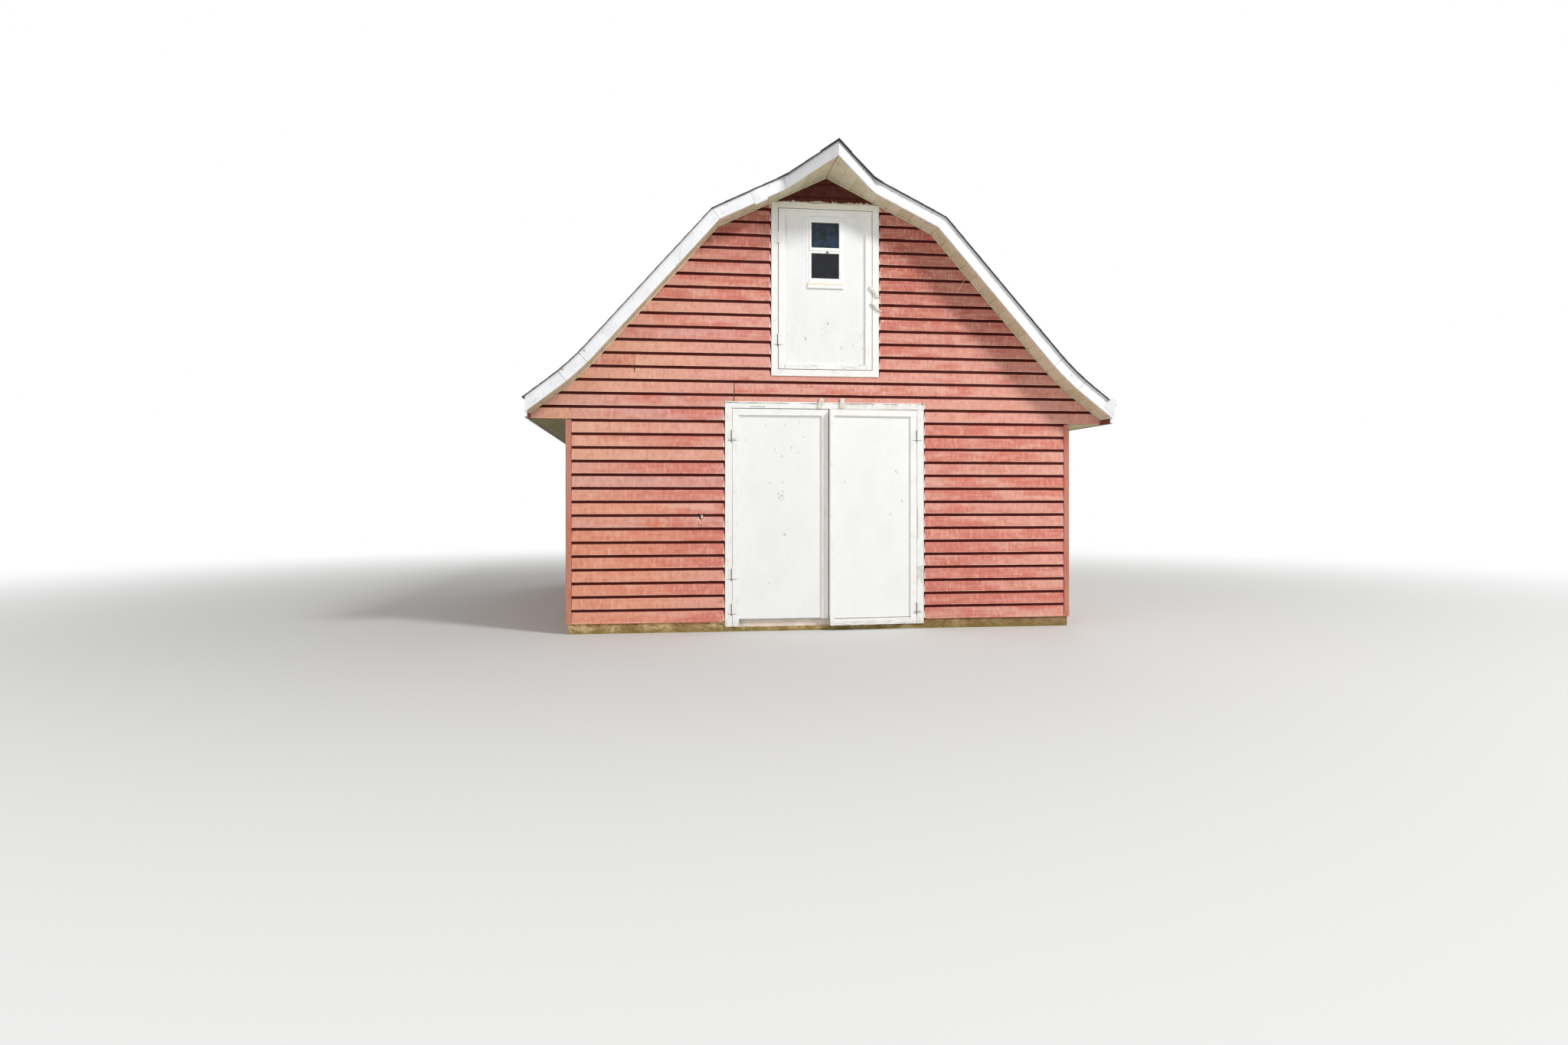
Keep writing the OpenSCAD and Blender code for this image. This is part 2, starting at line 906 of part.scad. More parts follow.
// A turn button is a short bar with rounded ends, given by its middle, length and tilt
module turn_button(x, z, length, tilt) {
    translate([x, trim_y, z])
        rotate([90, tilt, 0])
            linear_extrude(button_t)
                hull() {
                    translate([0, length / 2 - button_w / 4]) circle(r = button_w / 4, $fn = 24);
                    translate([0, button_w / 4 - length / 2]) circle(r = button_w / 4, $fn = 24);
                    square([button_w, length - button_w], center = true);
                }
}

button_z = leaf_head + button_clear + button_l / 2;
loft_button_x = loft_off + loft_half + leaf_gap / 2;

module turn_buttons() {
    color([0.80, 0.76, 0.68]) {
        for (i = [0, 1])
            turn_button(button_xs[i], button_z, button_l, button_tilts[i]);
        for (h = loft_buttons)
            turn_button(loft_button_x, loft_foot + h, loft_button_l, loft_button_tilt);
    }
}

// Loft door, which is shut
module loft_casing() {
    color(paint_white)
        intersection() {
            across(trim_y, core_y)
                difference() {
                    loft_hole(leaf_gap + board_w);
                    loft_hole(leaf_gap);
                }
            across(trim_y - 1, core_y + 1) under_roof(-mould_h, tip_x);
        }
}

// The meeting rail of the loft window, from the middle of the window
module meeting_rail(x_half) {
    translate([window_off - x_half, window_head - window_h / 2 + meet_rail_up - meet_rail / 2 - eave_z])
        square([2 * x_half, meet_rail]);
}

// Outline of the loft window, grown to take in its trim
module window_outline(grow) {
    translate([window_off - window_w / 2 - grow, window_head - window_h - eave_z - grow])
        square([window_w + 2 * grow, window_h + 2 * grow]);
}

module loft_door_panel() {
    color(paint_white)
        across(core_y, core_y + panel_t)
            difference() {
                loft_hole(0);
                window_outline(0);
            }
}

module loft_door_frame() {
    color(paint_white)
        across(trim_y, core_y)
            difference() {
                loft_hole(0);
                translate([loft_off - loft_half + board_w, loft_foot - eave_z + loft_bottom_rail])
                    square([2 * (loft_half - board_w),
                        loft_head - loft_foot - loft_bottom_rail - board_w]);
            }
}

module loft_window() {
    sash_y = core_y - board_t / 2;
    color(paint_white) {
        across(sash_y, core_y + panel_t)
            difference() {
                window_outline(0);
                window_outline(-sash_w);
            }
        across(sash_y, core_y)
            difference() {
                window_outline(window_trim);
                window_outline(0);
            }
        across(sash_y, core_y + panel_t) meeting_rail(window_w / 2 - sash_w);
    }
}

module loft_glass() {
    color([0.25, 0.32, 0.36])
        across(core_y, core_y + glass_t)
            difference() {
                window_outline(-sash_w);
                meeting_rail(window_w);
            }
}

module loft_hinges() {
    color(zinc)
        at_hinges(loft_off - loft_half - leaf_gap / 2, loft_hinge_zs) {
            fixed_hinge(-1);
            swing_hinge(1);
        }
}

foundation();
left_wall();
right_wall();
front_wall_left();
front_wall_right();
front_wall_band();
front_gable_left();
front_gable_right();
front_gable_peak();
back_wall();
back_gable();
siding_front();
siding_front_gable();
siding_sides();
siding_back();
corner_boards();
loft_joists();
loft_floor();
ridge_board();
rafters_upper();
rafters_lower();
roof_deck_left();
roof_deck_right();
shingles_left();
shingles_right();
rake_fascia_front();
rake_fascia_back();
eave_fascias();
rake_soffit_front();
rake_soffit_back();
eave_soffits();
soffit_strips();
door_casing();
door_threshold();
door_hinge_plates();
turn_buttons();
loft_casing();
loft_door_panel();
loft_door_frame();
loft_window();
loft_glass();
loft_hinges();
left_door_panel();
left_door_frame();
left_door_battens();
left_door_hinges();
right_door_panel();
right_door_frame();
right_door_battens();
right_door_hinges();
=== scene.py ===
"""Looks of a small gambrel-roofed barn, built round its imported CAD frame.

Lengths are in metres in the CAD frame: the front wall faces -Y, +X is to the right as it is looked
at and the barn stands on z = 0. Every new piece is made of closed tubes: rings of points that
follow each other along a board, worked out as whole arrays.
"""
import math

import bmesh
import bpy
import numpy as np
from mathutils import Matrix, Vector


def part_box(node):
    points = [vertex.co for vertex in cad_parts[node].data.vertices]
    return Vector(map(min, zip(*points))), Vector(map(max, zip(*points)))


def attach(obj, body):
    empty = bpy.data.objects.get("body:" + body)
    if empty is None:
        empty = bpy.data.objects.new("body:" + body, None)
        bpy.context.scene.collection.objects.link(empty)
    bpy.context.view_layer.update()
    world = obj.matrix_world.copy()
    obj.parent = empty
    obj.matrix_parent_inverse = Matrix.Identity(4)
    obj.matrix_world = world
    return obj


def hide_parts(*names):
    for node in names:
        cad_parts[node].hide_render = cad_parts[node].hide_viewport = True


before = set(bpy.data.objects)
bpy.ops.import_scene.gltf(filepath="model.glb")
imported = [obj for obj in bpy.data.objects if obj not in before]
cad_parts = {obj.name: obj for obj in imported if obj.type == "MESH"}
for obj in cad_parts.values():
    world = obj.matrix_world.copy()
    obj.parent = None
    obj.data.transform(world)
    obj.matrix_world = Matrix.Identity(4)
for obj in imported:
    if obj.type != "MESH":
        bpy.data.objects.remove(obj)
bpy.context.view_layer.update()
chance = np.random.default_rng(16)


def span(node):
    """A CAD node's box as three pairs: x, y and z from and to."""
    return list(zip(*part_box(node)))


# Camera: the photograph's own place, turn and lens, for a picture 2048 pixels wide
CAMERA_PLACE, CAMERA_TURN = (-1.701, -12.289, 1.262), math.radians(7.81)
FOCAL_PIXELS, PICTURE_WIDTH, SENSOR_WIDTH = 1300, 2048, 36
HORIZON_SHIFT = -31 / PICTURE_WIDTH

# Faces of the frame, read from its nodes
HALF_W, BACK_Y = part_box("right_wall")[1].x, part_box("back_wall")[1].y
_, CORE_Y, SILL_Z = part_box("front_wall_left")[0]
TIP_X, EAVE_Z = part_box("eave_soffits")[1].x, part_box("eave_soffits")[0].z
EAVE_OUT, SHINGLE_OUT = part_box("eave_fascias")[1].x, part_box("shingles_right")[1].x
HOOD_Y, RAKE_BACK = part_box("rake_fascia_front")[0].y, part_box("rake_fascia_back")[1].y
TRIM_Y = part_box("door_casing")[0].y

# Roof: pitches of the three slopes, the knee, the bend into the flare and the layers
UPPER, LOWER, FLARE = (math.radians(a) for a in (25.95, 48.3, 37.5))
KNEE_X, FLARE_RUN, FLARE_R, TIP_H = 1.040, 0.453, 2.600, 0.060
SOFFIT_T, FASCIA_T, FASCIA_H, SHINGLE_HEAD = 0.010, 0.020, 0.114, 0.126
RAKE_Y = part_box("eave_fascias")[0].y - FASCIA_T
HOOD_X, DRIP = 0.420, 0.022
HOOD_REACH = RAKE_Y - HOOD_Y
HOOD_SLANT = math.hypot(HOOD_X, HOOD_REACH)

# Siding: height of a course, how far its laps rise above the solids', thickness at foot and head
COURSE, LAP_RISE, BUTT, LAP_TOP = 0.127, 0.008, 0.013, 0.002
SIDING_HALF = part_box("siding_front")[1].x + 0.006
SIDE_FROM, SIDE_TO = span("siding_sides")[1]

# Gaps: siding to corner boards, siding to casings, board to board, and widths of the trim
END_GAP, CASING_GAP, JOINT = 0.0025, 0.001, 0.0004
TRIM_W, RAIL_W, BATTEN = 0.063, 0.060, 0.038

# Openings in the siding, as x from, x to, z from, z to
DOOR_CASING = (*span("door_casing")[0], 0, span("door_casing")[2][1])
LOFT_CASING = (*span("loft_casing")[0], *span("loft_casing")[2])
# The hole knocked into the upper edge of a board left of the doors: at, half width and depth, and
# the course, counted from 0
HOLE, HOLE_COURSE = (-1.208, 0.015, -0.062), 7

# Hinges: x of the pins of the left leaf, the right leaf and the loft door, and their heights
HINGE_AXES = (-0.906, 0.900, -0.464)
LEFT_HINGES, RIGHT_HINGES, LOFT_HINGES = (0.217, 0.548, 1.864), (0.202, 1.877), (2.784, 3.758)
HINGE_FEET = [z - 0.049 for z in LEFT_HINGES + RIGHT_HINGES + LOFT_HINGES]
AJAR = math.radians(4)
RIGHT_PIN = np.array([HINGE_AXES[1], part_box("door_hinge_plates")[0].y + 0.006, 0])


# ---------------------------------------------------------------- the roof's lines

def outline(out):
    """Right half of the roof's outline, out metres outside the soffit line, as x and z: ridge,
    knee, seven places on the arc into the flare, and three on the flare. Each slope is a straight
    line moved out square to itself; the knee is where two of them meet."""
    rise = [math.tan(a) for a in (UPPER, LOWER, FLARE)]
    bend_x = TIP_X - FLARE_RUN
    knee_h = TIP_H + FLARE_RUN * rise[2] + (bend_x - KNEE_X) * rise[1]
    upper_0 = knee_h + KNEE_X * rise[0] + out / math.cos(UPPER)
    lower_0 = knee_h + KNEE_X * rise[1] + out / math.cos(LOWER)
    flare_0 = TIP_H + TIP_X * rise[2]
    knee_x = (lower_0 - upper_0) / (rise[1] - rise[0])
    run = FLARE_R * math.tan((LOWER - FLARE) / 2)
    centre = np.array([bend_x - run * math.cos(LOWER) + FLARE_R * math.sin(LOWER),
                       flare_0 - bend_x * rise[2] + run * math.sin(LOWER) + FLARE_R * math.cos(LOWER)])
    turn = np.linspace(LOWER, FLARE, 7)
    arc = centre - (FLARE_R - out) * np.stack([np.sin(turn), np.cos(turn)], -1)
    flare = [(x, flare_0 + out / math.cos(FLARE) - x * rise[2]) for x in (TIP_X, EAVE_OUT, SHINGLE_OUT)]
    return np.vstack([[(0, upper_0), (knee_x, upper_0 - knee_x * rise[0])], arc, flare]) + [0, EAVE_Z]


ROOF_LINE = outline(0)
ROOF_MOVE = outline(1) - ROOF_LINE
ROOF_RUN = np.concatenate([[0], np.cumsum(np.hypot(*np.diff(ROOF_LINE, axis=0).T))])
RUN_KNEE, RUN_TIP, RUN_OUT, RUN_END = ROOF_RUN[[1, 9, 10, 11]]


def on_roof(run, out):
    """Place of points of the roof's right half, run metres down the soffit line from the ridge and
    out metres outside it: x and z slide between the outline's stations, then move outwards."""
    base, move = ([np.interp(run, ROOF_RUN, line[:, i]) for i in (0, 1)] for line in (ROOF_LINE, ROOF_MOVE))
    return base[0] + out * move[0], base[1] + out * move[1]


def run_at(x):
    """How far down the soffit line the roof is at x."""
    return np.interp(abs(x), ROOF_LINE[:, 0], ROOF_RUN)


def roof_z(x):
    """Height of the soffit line at x."""
    return np.interp(np.abs(x), ROOF_LINE[:, 0], ROOF_LINE[:, 1])


def gable_half(z):
    """Half the gable's width under the soffit line at height z."""
    return np.interp(z, ROOF_LINE[9::-1, 1], ROOF_LINE[9::-1, 0])


def front_edge(x, back):
    """Y of the roof's front edge over x, back metres behind the fascia's face: the hood's two
    slanted boards, then the straight rake."""
    slanted = HOOD_Y + back * HOOD_SLANT / HOOD_X + np.abs(x) * HOOD_REACH / HOOD_X
    return np.minimum(slanted, RAKE_Y + back)


# ---------------------------------------------------------------- closed tubes and pieces

def tubes(rings, tone=None, lie=0.0):
    """Closed tubes from rings of points (tubes, stations, points, 3): each ring is joined to the
    next and both ends are capped. The sum of each ring's turn along its travel tells which way
    round it goes, so that every face looks outwards. Tone is a random number for each tube."""
    rings = np.asarray(rings, float)
    count, stations, points, _ = rings.shape
    index = np.arange(count * stations * points).reshape(count, stations, points)
    following = np.roll(index, -1, 2)
    sides = np.stack([index[:, :-1], following[:, :-1], following[:, 1:], index[:, 1:]], -1)
    ends = np.stack([index[:, 0, ::-1], index[:, -1]], 1)
    area = np.cross(rings, np.roll(rings, -1, 2)).sum(2)
    travel = np.diff(rings.mean(2), axis=1)
    flip = ((area[:, :-1] + area[:, 1:]) * travel).sum((1, 2)) < 0
    sides[flip], ends[flip] = sides[flip][..., ::-1], ends[flip][..., ::-1]
    tone = chance.random(count) if tone is None else tone
    tones = np.repeat(np.broadcast_to(tone, count), stations * points)
    faces = sides.reshape(-1, 4), ends.reshape(-1, points)
    return rings.reshape(-1, 3), faces, tones, np.full(len(tones), float(lie))


def make_piece(name, parts, look, stands_for="", body="barn", weld=0):
    """One object from parts that tubes() returns. It has a look, which is a finish and a slot name,
    which is not used; it stands for a CAD node and rides on body. Weld merges points that lie on each other."""
    finish, slot = look
    starts = np.cumsum([0] + [len(p[0]) for p in parts])
    faces = [face for start, p in zip(starts, parts) for group in p[1] for face in (group + start).tolist()]
    mesh = bpy.data.meshes.new(name)
    mesh.from_pydata(np.concatenate([p[0] for p in parts]).tolist(), [], faces)
    for label, which in (("tone", 2), ("lie", 3)):
        values = np.concatenate([p[which] for p in parts])
        mesh.attributes.new(label, "FLOAT", "POINT").data.foreach_set("value", values)
    mesh.materials.append(finish)
    piece = bpy.data.objects.new(name, mesh)
    bpy.context.collection.objects.link(piece)
    if weld:
        work = bmesh.new()
        work.from_mesh(mesh)
        bmesh.ops.remove_doubles(work, verts=work.verts, dist=weld)
        bmesh.ops.dissolve_degenerate(work, edges=work.edges, dist=weld)
        work.to_mesh(mesh)
        work.free()
    mesh.update()
    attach(piece, body)
    if stands_for:
        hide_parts(stands_for)


def stir(values, size, seed):
    """A smooth random wave of height 1 along values: three sines of unlike lengths."""
    phase = np.random.default_rng(seed).random(3) * math.tau
    return sum(np.sin(values / size * f + p) for f, p in zip((1.0, 1.7, 2.9), phase)) / 3


def new_seed():
    """A seed for stir(), from the one stream of random numbers."""
    return int(chance.integers(1 << 30))


def plank(x, y, z, along, ease=0.0015, spacing=0.12, bow=0.0004):
    """A board between the pairs x, y and z, with eased edges: an eight-cornered outline carried
    along one axis, with a slow bow that differs from board to board."""
    low, high = np.sort(np.array([x, y, z], float), 1).T
    other = [a for a in range(3) if a != along]
    w, h = (high - low)[other]
    length = (high - low)[along]
    t = np.linspace(0, length, max(2, int(length / spacing) + 1))
    u = np.array([ease, w - ease, w, w, w - ease, ease, 0, 0])
    v = np.array([0, 0, ease, h - ease, h, h, h - ease, ease])
    ring = np.zeros((len(t), 8, 3))
    seed = new_seed()
    ring[..., along] = low[along] + t[:, None]
    ring[..., other[0]] = low[other[0]] + u + bow * stir(t, 0.4, seed)[:, None]
    ring[..., other[1]] = low[other[1]] + v + bow * stir(t, 0.5, seed + 1)[:, None]
    return tubes(ring[None], lie=1.0 if along == 0 else 0.0)


def down_roof(side, run, out, y, tone=None):
    """A tube over the places run and out of one half of the roof. Y may be worked out from x."""
    x, z = on_roof(run, out)
    y = y(x) if callable(y) else y
    return tubes(np.stack(np.broadcast_arrays(side * x, y, z), -1)[None], tone)


def studs(places, facing, radius, height, sides=8):
    """Low domes for nail and screw heads: four rings that rise and shrink from each place."""
    places, facing = np.atleast_2d(places).astype(float), np.atleast_2d(facing).astype(float)
    facing = np.broadcast_to(facing, places.shape)
    across = np.cross(facing, [0.0, 0.0, 1.0])
    across /= np.linalg.norm(across, axis=1)[:, None]
    upward = np.cross(across, facing)
    a = np.arange(sides) * math.tau / sides
    rim = np.cos(a)[None, :, None] * across[:, None] + np.sin(a)[None, :, None] * upward[:, None]
    rings = [places[:, None] + rim * radius * r + facing[:, None] * height * h
             for r, h in ((1, -0.6), (1, 0.35), (0.75, 0.85), (0.3, 1))]
    return tubes(np.stack(rings, 1))


def ajar(part):
    """The part turned with the right leaf about its pin."""
    c, s = math.cos(AJAR), math.sin(AJAR)
    away = part[0] - RIGHT_PIN
    return (RIGHT_PIN + away @ np.array([[c, s, 0], [-s, c, 0], [0, 0, 1]]), *part[1:])


# ---------------------------------------------------------------- finishes

def linear(colour):
    """A colour written as 0-255 display values, in Blender's linear light."""
    v = np.array(colour) / 255
    return (*np.where(v <= 0.04045, v / 12.92, ((v + 0.055) / 1.055) ** 2.4).tolist(), 1.0)


class Field:
    """A number, colour or place that varies over a surface: a socket that Python sums can use."""

    def __init__(self, nodes, socket):
        self.nodes, self.socket = nodes, socket

    def work(self, operation, *terms):
        return self.nodes.node("Math", {"operation": operation}, dict(enumerate(terms)))

    def __add__(self, other): return self.work("ADD", self, other)
    def __radd__(self, other): return self.work("ADD", other, self)
    def __sub__(self, other): return self.work("SUBTRACT", self, other)
    def __rsub__(self, other): return self.work("SUBTRACT", other, self)
    def __mul__(self, other): return self.work("MULTIPLY", self, other)
    def __rmul__(self, other): return self.work("MULTIPLY", other, self)
    def __truediv__(self, other): return self.work("DIVIDE", self, other)
    def __gt__(self, other): return self.work("GREATER_THAN", self, other)
    def __abs__(self): return self.work("ABSOLUTE", self)
    def most(self, other): return self.work("MAXIMUM", self, other)
    def least(self, other): return self.work("MINIMUM", self, other)
    def part(self): return self.work("FRACT", self)

    def off(self, amount):
        """How far a noise is off its middle value, times amount."""
        return (self - 0.5) * amount

    def fade(self, start, end):
        """0 at start, 1 at end, smooth between."""
        return self.nodes.node("MapRange", {"interpolation_type": "SMOOTHSTEP"},
                               {"Value": self, "From Min": start, "From Max": end})


def any_of(mask, *more):
    """1 where any of the masks is 1."""
    for other in more:
        mask = mask.most(other)
    return mask


class Nodes:
    """The node tree of a material or of the surroundings, as it is built up."""

    def __init__(self, owner):
        owner.use_nodes = True
        self.owner, self.tree = owner, owner.node_tree
        self.tree.nodes.clear()

    def node(self, kind, settings=None, inputs=None, output=0):
        """Adds a node, sets its settings, then its sockets' values or links, and returns an output."""
        made = self.tree.nodes.new("ShaderNode" + kind)
        for key, value in (settings or {}).items():
            setattr(made, key, value)
        for key, value in (inputs or {}).items():
            if isinstance(value, Field):
                self.tree.links.new(value.socket, made.inputs[key])
            else:
                made.inputs[key].default_value = value
        return Field(self, made.outputs[output])

    def looked_at(self):
        """1 where the camera, a gloss or glass looks, and 0 for light that only falls on things."""
        return any_of(*(self.node("LightPath", output="Is %s Ray" % ray)
                        for ray in ("Camera", "Glossy", "Transmission")))

    def close(self, shader, output="OutputMaterial"):
        self.tree.links.new(shader.socket, self.tree.nodes.new("ShaderNode" + output).inputs[0])
        return self.owner


class Finish(Nodes):
    """A material as it is built up: fields over the surface, then one Principled shader."""

    def __init__(self, name):
        super().__init__(bpy.data.materials.new(name))
        self.place = self.node("TexCoord", output="Object")
        self.x, self.y, self.z = (self.node("SeparateXYZ", {}, {0: self.place}, i) for i in range(3))
        self.tone = self.attribute("tone")

    def attribute(self, name):
        return self.node("Attribute", {"attribute_name": name}, output="Fac")

    def vector(self, operation, a, b):
        return self.node("VectorMath", {"operation": operation}, {0: a, 1: b})

    def length(self, place):
        return self.node("VectorMath", {"operation": "LENGTH"}, {0: place}, "Value")

    def spread(self, size, vary=0):
        """Places divided by size on each axis, moved on by vary times the tone so that boards differ."""
        place = self.vector("DIVIDE", self.place, size)
        if vary:
            moved = self.node("CombineXYZ", {}, dict.fromkeys(range(3), self.tone * vary))
            place = self.vector("ADD", place, moved)
        return place

    def noise_at(self, place, detail, rough, bent=0):
        return self.node("TexNoise", {}, {"Vector": place, "Scale": 1.0, "Detail": detail,
                                          "Roughness": rough, "Distortion": bent})

    def noise(self, size, detail=3, rough=0.55, vary=0, bent=0):
        """Noise whose features are size metres on each axis, from about 0.2 to 0.8."""
        size = size if isinstance(size, tuple) else (size,) * 3
        return self.noise_at(self.spread(size, vary), detail, rough, bent)

    def cells(self, place, scale, output="Distance"):
        return self.node("TexVoronoi", {}, {"Vector": place, "Scale": scale}, output)

    def mix(self, amount, a, b):
        """Colour a where amount is 0, b where it is 1."""
        a, b = (v if isinstance(v, Field) else linear(v) for v in (a, b))
        return self.node("Mix", {"data_type": "RGBA"}, {0: amount, 6: a, 7: b}, 2)

    def coats(self, body, *coats):
        """Colours laid over body one after another, each as far as its amount."""
        for amount, colour in coats:
            body = self.mix(amount, body, colour)
        return body

    def box(self, x0, x1, z0, z1, soft):
        """1 inside a range of x and z, fading over soft metres."""
        inside = self.x.fade(x0 - soft, x0) * self.x.fade(x1 + soft, x1)
        return inside * self.z.fade(z0 - soft, z0) * self.z.fade(z1 + soft, z1)

    def spot(self, x, z, half_w, half_h, ragged):
        """1 inside a small ragged patch round x and z, at any y."""
        away = self.vector("DIVIDE", self.vector("SUBTRACT", self.place, (x, 0, z)), (half_w, 1e6, half_h))
        return (self.length(away) + ragged).fade(1.15, 0.85)

    def done(self, colour, rough, height, distance, **fixed):
        """Closes the material: what varies goes to colour, roughness and bump alone."""
        normal = self.node("Bump", {}, {"Height": height, "Distance": distance, "Strength": 1.0})
        inputs = {"Base Color": colour, "Roughness": rough, "Normal": normal}
        inputs.update({key.replace("_", " "): value for key, value in fixed.items()})
        return self.close(self.node("BsdfPrincipled", {}, inputs))


def near_casing(f, casing, reach):
    """How far a point of the siding is beside a casing, in metres: 0 at the casing's edge, and out
    of reach where reach is 0."""
    x0, x1 = casing[:2]
    return abs(f.x - (x0 + x1) / 2) - (x1 - x0) / 2 + (1 - reach) * 9


def red_body(f, patch, cloud, smudge, tick):
    """Faded barn red: salmon and coral patches, peach to the far left and brick red low down there,
    a dusty lilac on some boards, darker low down beside the doors, painted shade that darkens it up
    under the roof, with soft upright smudges and a few pale ticks."""
    right = f.x.fade(-0.9, 0.9)
    board = (f.tone - 0.5) * (1 - right * 0.55)
    worn_in = right * ((1.2 - f.z) * 0.06 + (1.7 - f.x) * 0.06)
    coral = (patch + board * 0.55 + (f.x + f.z * 0.5).fade(-2.2, -0.8) * 0.10 + worn_in).fade(0.46, 0.66)
    peach = (f.x + cloud.off(1.4) + f.tone.off(0.9)).fade(-1.1, -2.4)
    brick = (f.z + f.tone.off(0.2)).fade(1.32, 1.16) * (f.x + cloud.off(1.2)).fade(-1.0, -1.9)
    lilac = (patch.off(0.8) + board * 0.6 + f.z.fade(0.5, 1.6) * 0.1).fade(0.22, 0.42)
    trodden = right * f.z.fade(1.3, 0.2) * (f.x + cloud.off(0.5)).fade(2.1, 1.2)
    # painted shade: the red darkens towards the top right, up under the roof
    painted_roof_shade = (f.z + f.x * 0.30).fade(2.6, 4.0)
    return f.coats((220, 158, 143), (coral, (209, 125, 111)), (peach * 0.65, (226, 170, 142)),
                   (brick * 0.60, (222, 140, 110)), (lilac * 0.6, (216, 170, 160)),
                   (trodden * 0.36, (190, 112, 98)), (painted_roof_shade * 0.55, (150, 72, 62)),
                   (smudge.fade(0.48, 0.74) * 0.40, (237, 184, 162)),
                   (smudge.fade(0.50, 0.26) * 0.36, (190, 102, 84)),
                   (tick.fade(0.62, 0.70) * cloud.fade(0.46, 0.60) * 0.14, (246, 212, 192)))


def siding_paint():
    """Barn red on the lap boards. Under each lap lies a dark strip of painted shade, the lap's shadow;
    lower edges are worn pale; the boards' ends at the casings are ragged, with white paint on them and
    a wedge of painted shade beside each casing; there are flecks of white over the door, and a scuffed
    board and a knocked hole to the left of it; the boards in the hood are a dark brown, paint that the
    hood keeps darker, deepened with painted shade; and a pale slash crosses two boards right of the loft
    door."""
    f = Finish("faded_barn_red")
    course = ((f.z - SILL_Z - LAP_RISE) / COURSE).part()
    patch, cloud = f.noise((0.50, 0.50, 0.12), vary=31), f.noise((0.15, 0.15, 0.06), vary=17)
    smudge, streak = f.noise((0.030, 0.030, 0.055), 3, 0.5, 5), f.noise((0.30, 0.30, 0.022), 3, 0.5, 11)
    bar, tick = f.noise((0.05, 0.05, 1.2), 2, 0.5, 13), f.noise((0.0045, 0.0045, 0.030), 2, 0.5)
    front = f.y.fade(-2.5, -2.7)
    worn = (course + smudge.off(0.08)).fade(0.06, 0.02) * cloud.fade(0.40, 0.60)
    scuff = (course * 0.5 + cloud.off(0.9) + (f.x + 1.6) * 0.35).fade(0.30, 0.42)
    # under: a strip of painted shade at the top of each course, the shadow of the lap above
    under = (course + cloud.off(0.03)).fade(0.782, 0.798) * f.z.fade(SILL_Z + 0.02, SILL_Z + 0.03)

    door_top, (loft_foot, loft_top), soft = DOOR_CASING[3], LOFT_CASING[2:], 0.004
    beside_door = near_casing(f, DOOR_CASING, f.z.fade(door_top + soft, door_top - soft))
    beside_loft = near_casing(f, LOFT_CASING, f.z.fade(loft_foot - soft, loft_foot + soft)
                              * f.z.fade(loft_top + soft, loft_top - soft))
    beside = beside_door.least(beside_loft) + (1 - front) * 9
    # gap: painted shade in a dark wedge beside each casing, widest at the top of each course
    gap = (beside - course * course * 0.020 + smudge.off(0.010)).fade(0.006, 0.002)
    white_end = (beside + smudge.off(0.030) + course * 0.012).fade(0.020, 0.014)
    over_door = f.box(-0.80, 0.78, 2.185, 2.37, 0.03) * tick.fade(0.63, 0.68) * cloud.fade(0.46, 0.56)
    loft_side = f.box(0.515, 0.56, 2.9, 3.5, 0.015) * smudge.fade(0.60, 0.66)
    above = (f.z - loft_top - cloud.off(0.05) - smudge.off(0.05)).fade(0.008, 0.003)
    above = above * abs(f.x).fade(0.52, 0.50) * f.z.fade(loft_top - 0.01, loft_top)
    white = any_of(over_door * (1 - under), above, loft_side, white_end * (1 - under) * 0.8) * front

    at, torn = HOLE[0], f.noise(0.008, 3, 0.6).off(2.5)
    splinter = f.spot(at + 0.016, 1.094, 0.010, 0.014, torn)
    splinter = splinter.most(f.spot(at - 0.012, 1.064, 0.006, 0.006, torn))
    scorch = any_of(f.spot(at + 0.012, 1.090, 0.019, 0.022, torn),
                    f.spot(at - 0.010, 1.026, 0.0035, 0.026, torn * 0.5),
                    f.spot(at + 0.012, 1.024, 0.0035, 0.018, torn * 0.5))
    bared = f.spot(at + 0.002, 1.040, 0.008, 0.016, torn)
    # brown: the hood's boards, paint kept darker there, deepened with painted shade
    brown = f.mix(smudge.fade(0.4, 0.6), (84, 44, 38), (98, 54, 46))
    across = abs((f.x - 1.342) * 0.852 - (f.z - 3.345) * 0.524)
    slash = across.fade(0.0052, 0.0026) * f.box(1.302, 1.382, 3.28, 3.41, 0.006)
    body = f.coats(red_body(f, patch, cloud, smudge, tick),
                   (streak.fade(0.46, 0.66) * 0.20, (238, 192, 172)),
                   (bar.fade(0.60, 0.66) * cloud.fade(0.44, 0.56) * 0.30, (240, 192, 172)),
                   (worn * 0.5, (240, 204, 186)),
                   (scuff * f.box(-2.10, -1.10, 1.118, 1.222, 0.05) * 0.45, (238, 186, 164)),
                   (under * 0.98, (68, 12, 8)),
                   (f.z.fade(4.085, 4.12) * front * (1 - under * 0.45), brown),
                   (slash * front * 0.55, (238, 190, 172)), (white * 0.92, (246, 238, 228)),
                   (scorch * front * 0.75, (84, 34, 26)), (bared * front * 0.8, (244, 196, 176)),
                   (splinter * front, (244, 228, 216)), (gap * 0.92, (62, 30, 28)))
    return f.done(body, 0.80 + patch.off(0.25), smudge * 0.6 + tick * 0.25 + cloud * 0.4, 0.0010,
                  Specular_IOR_Level=0.10)


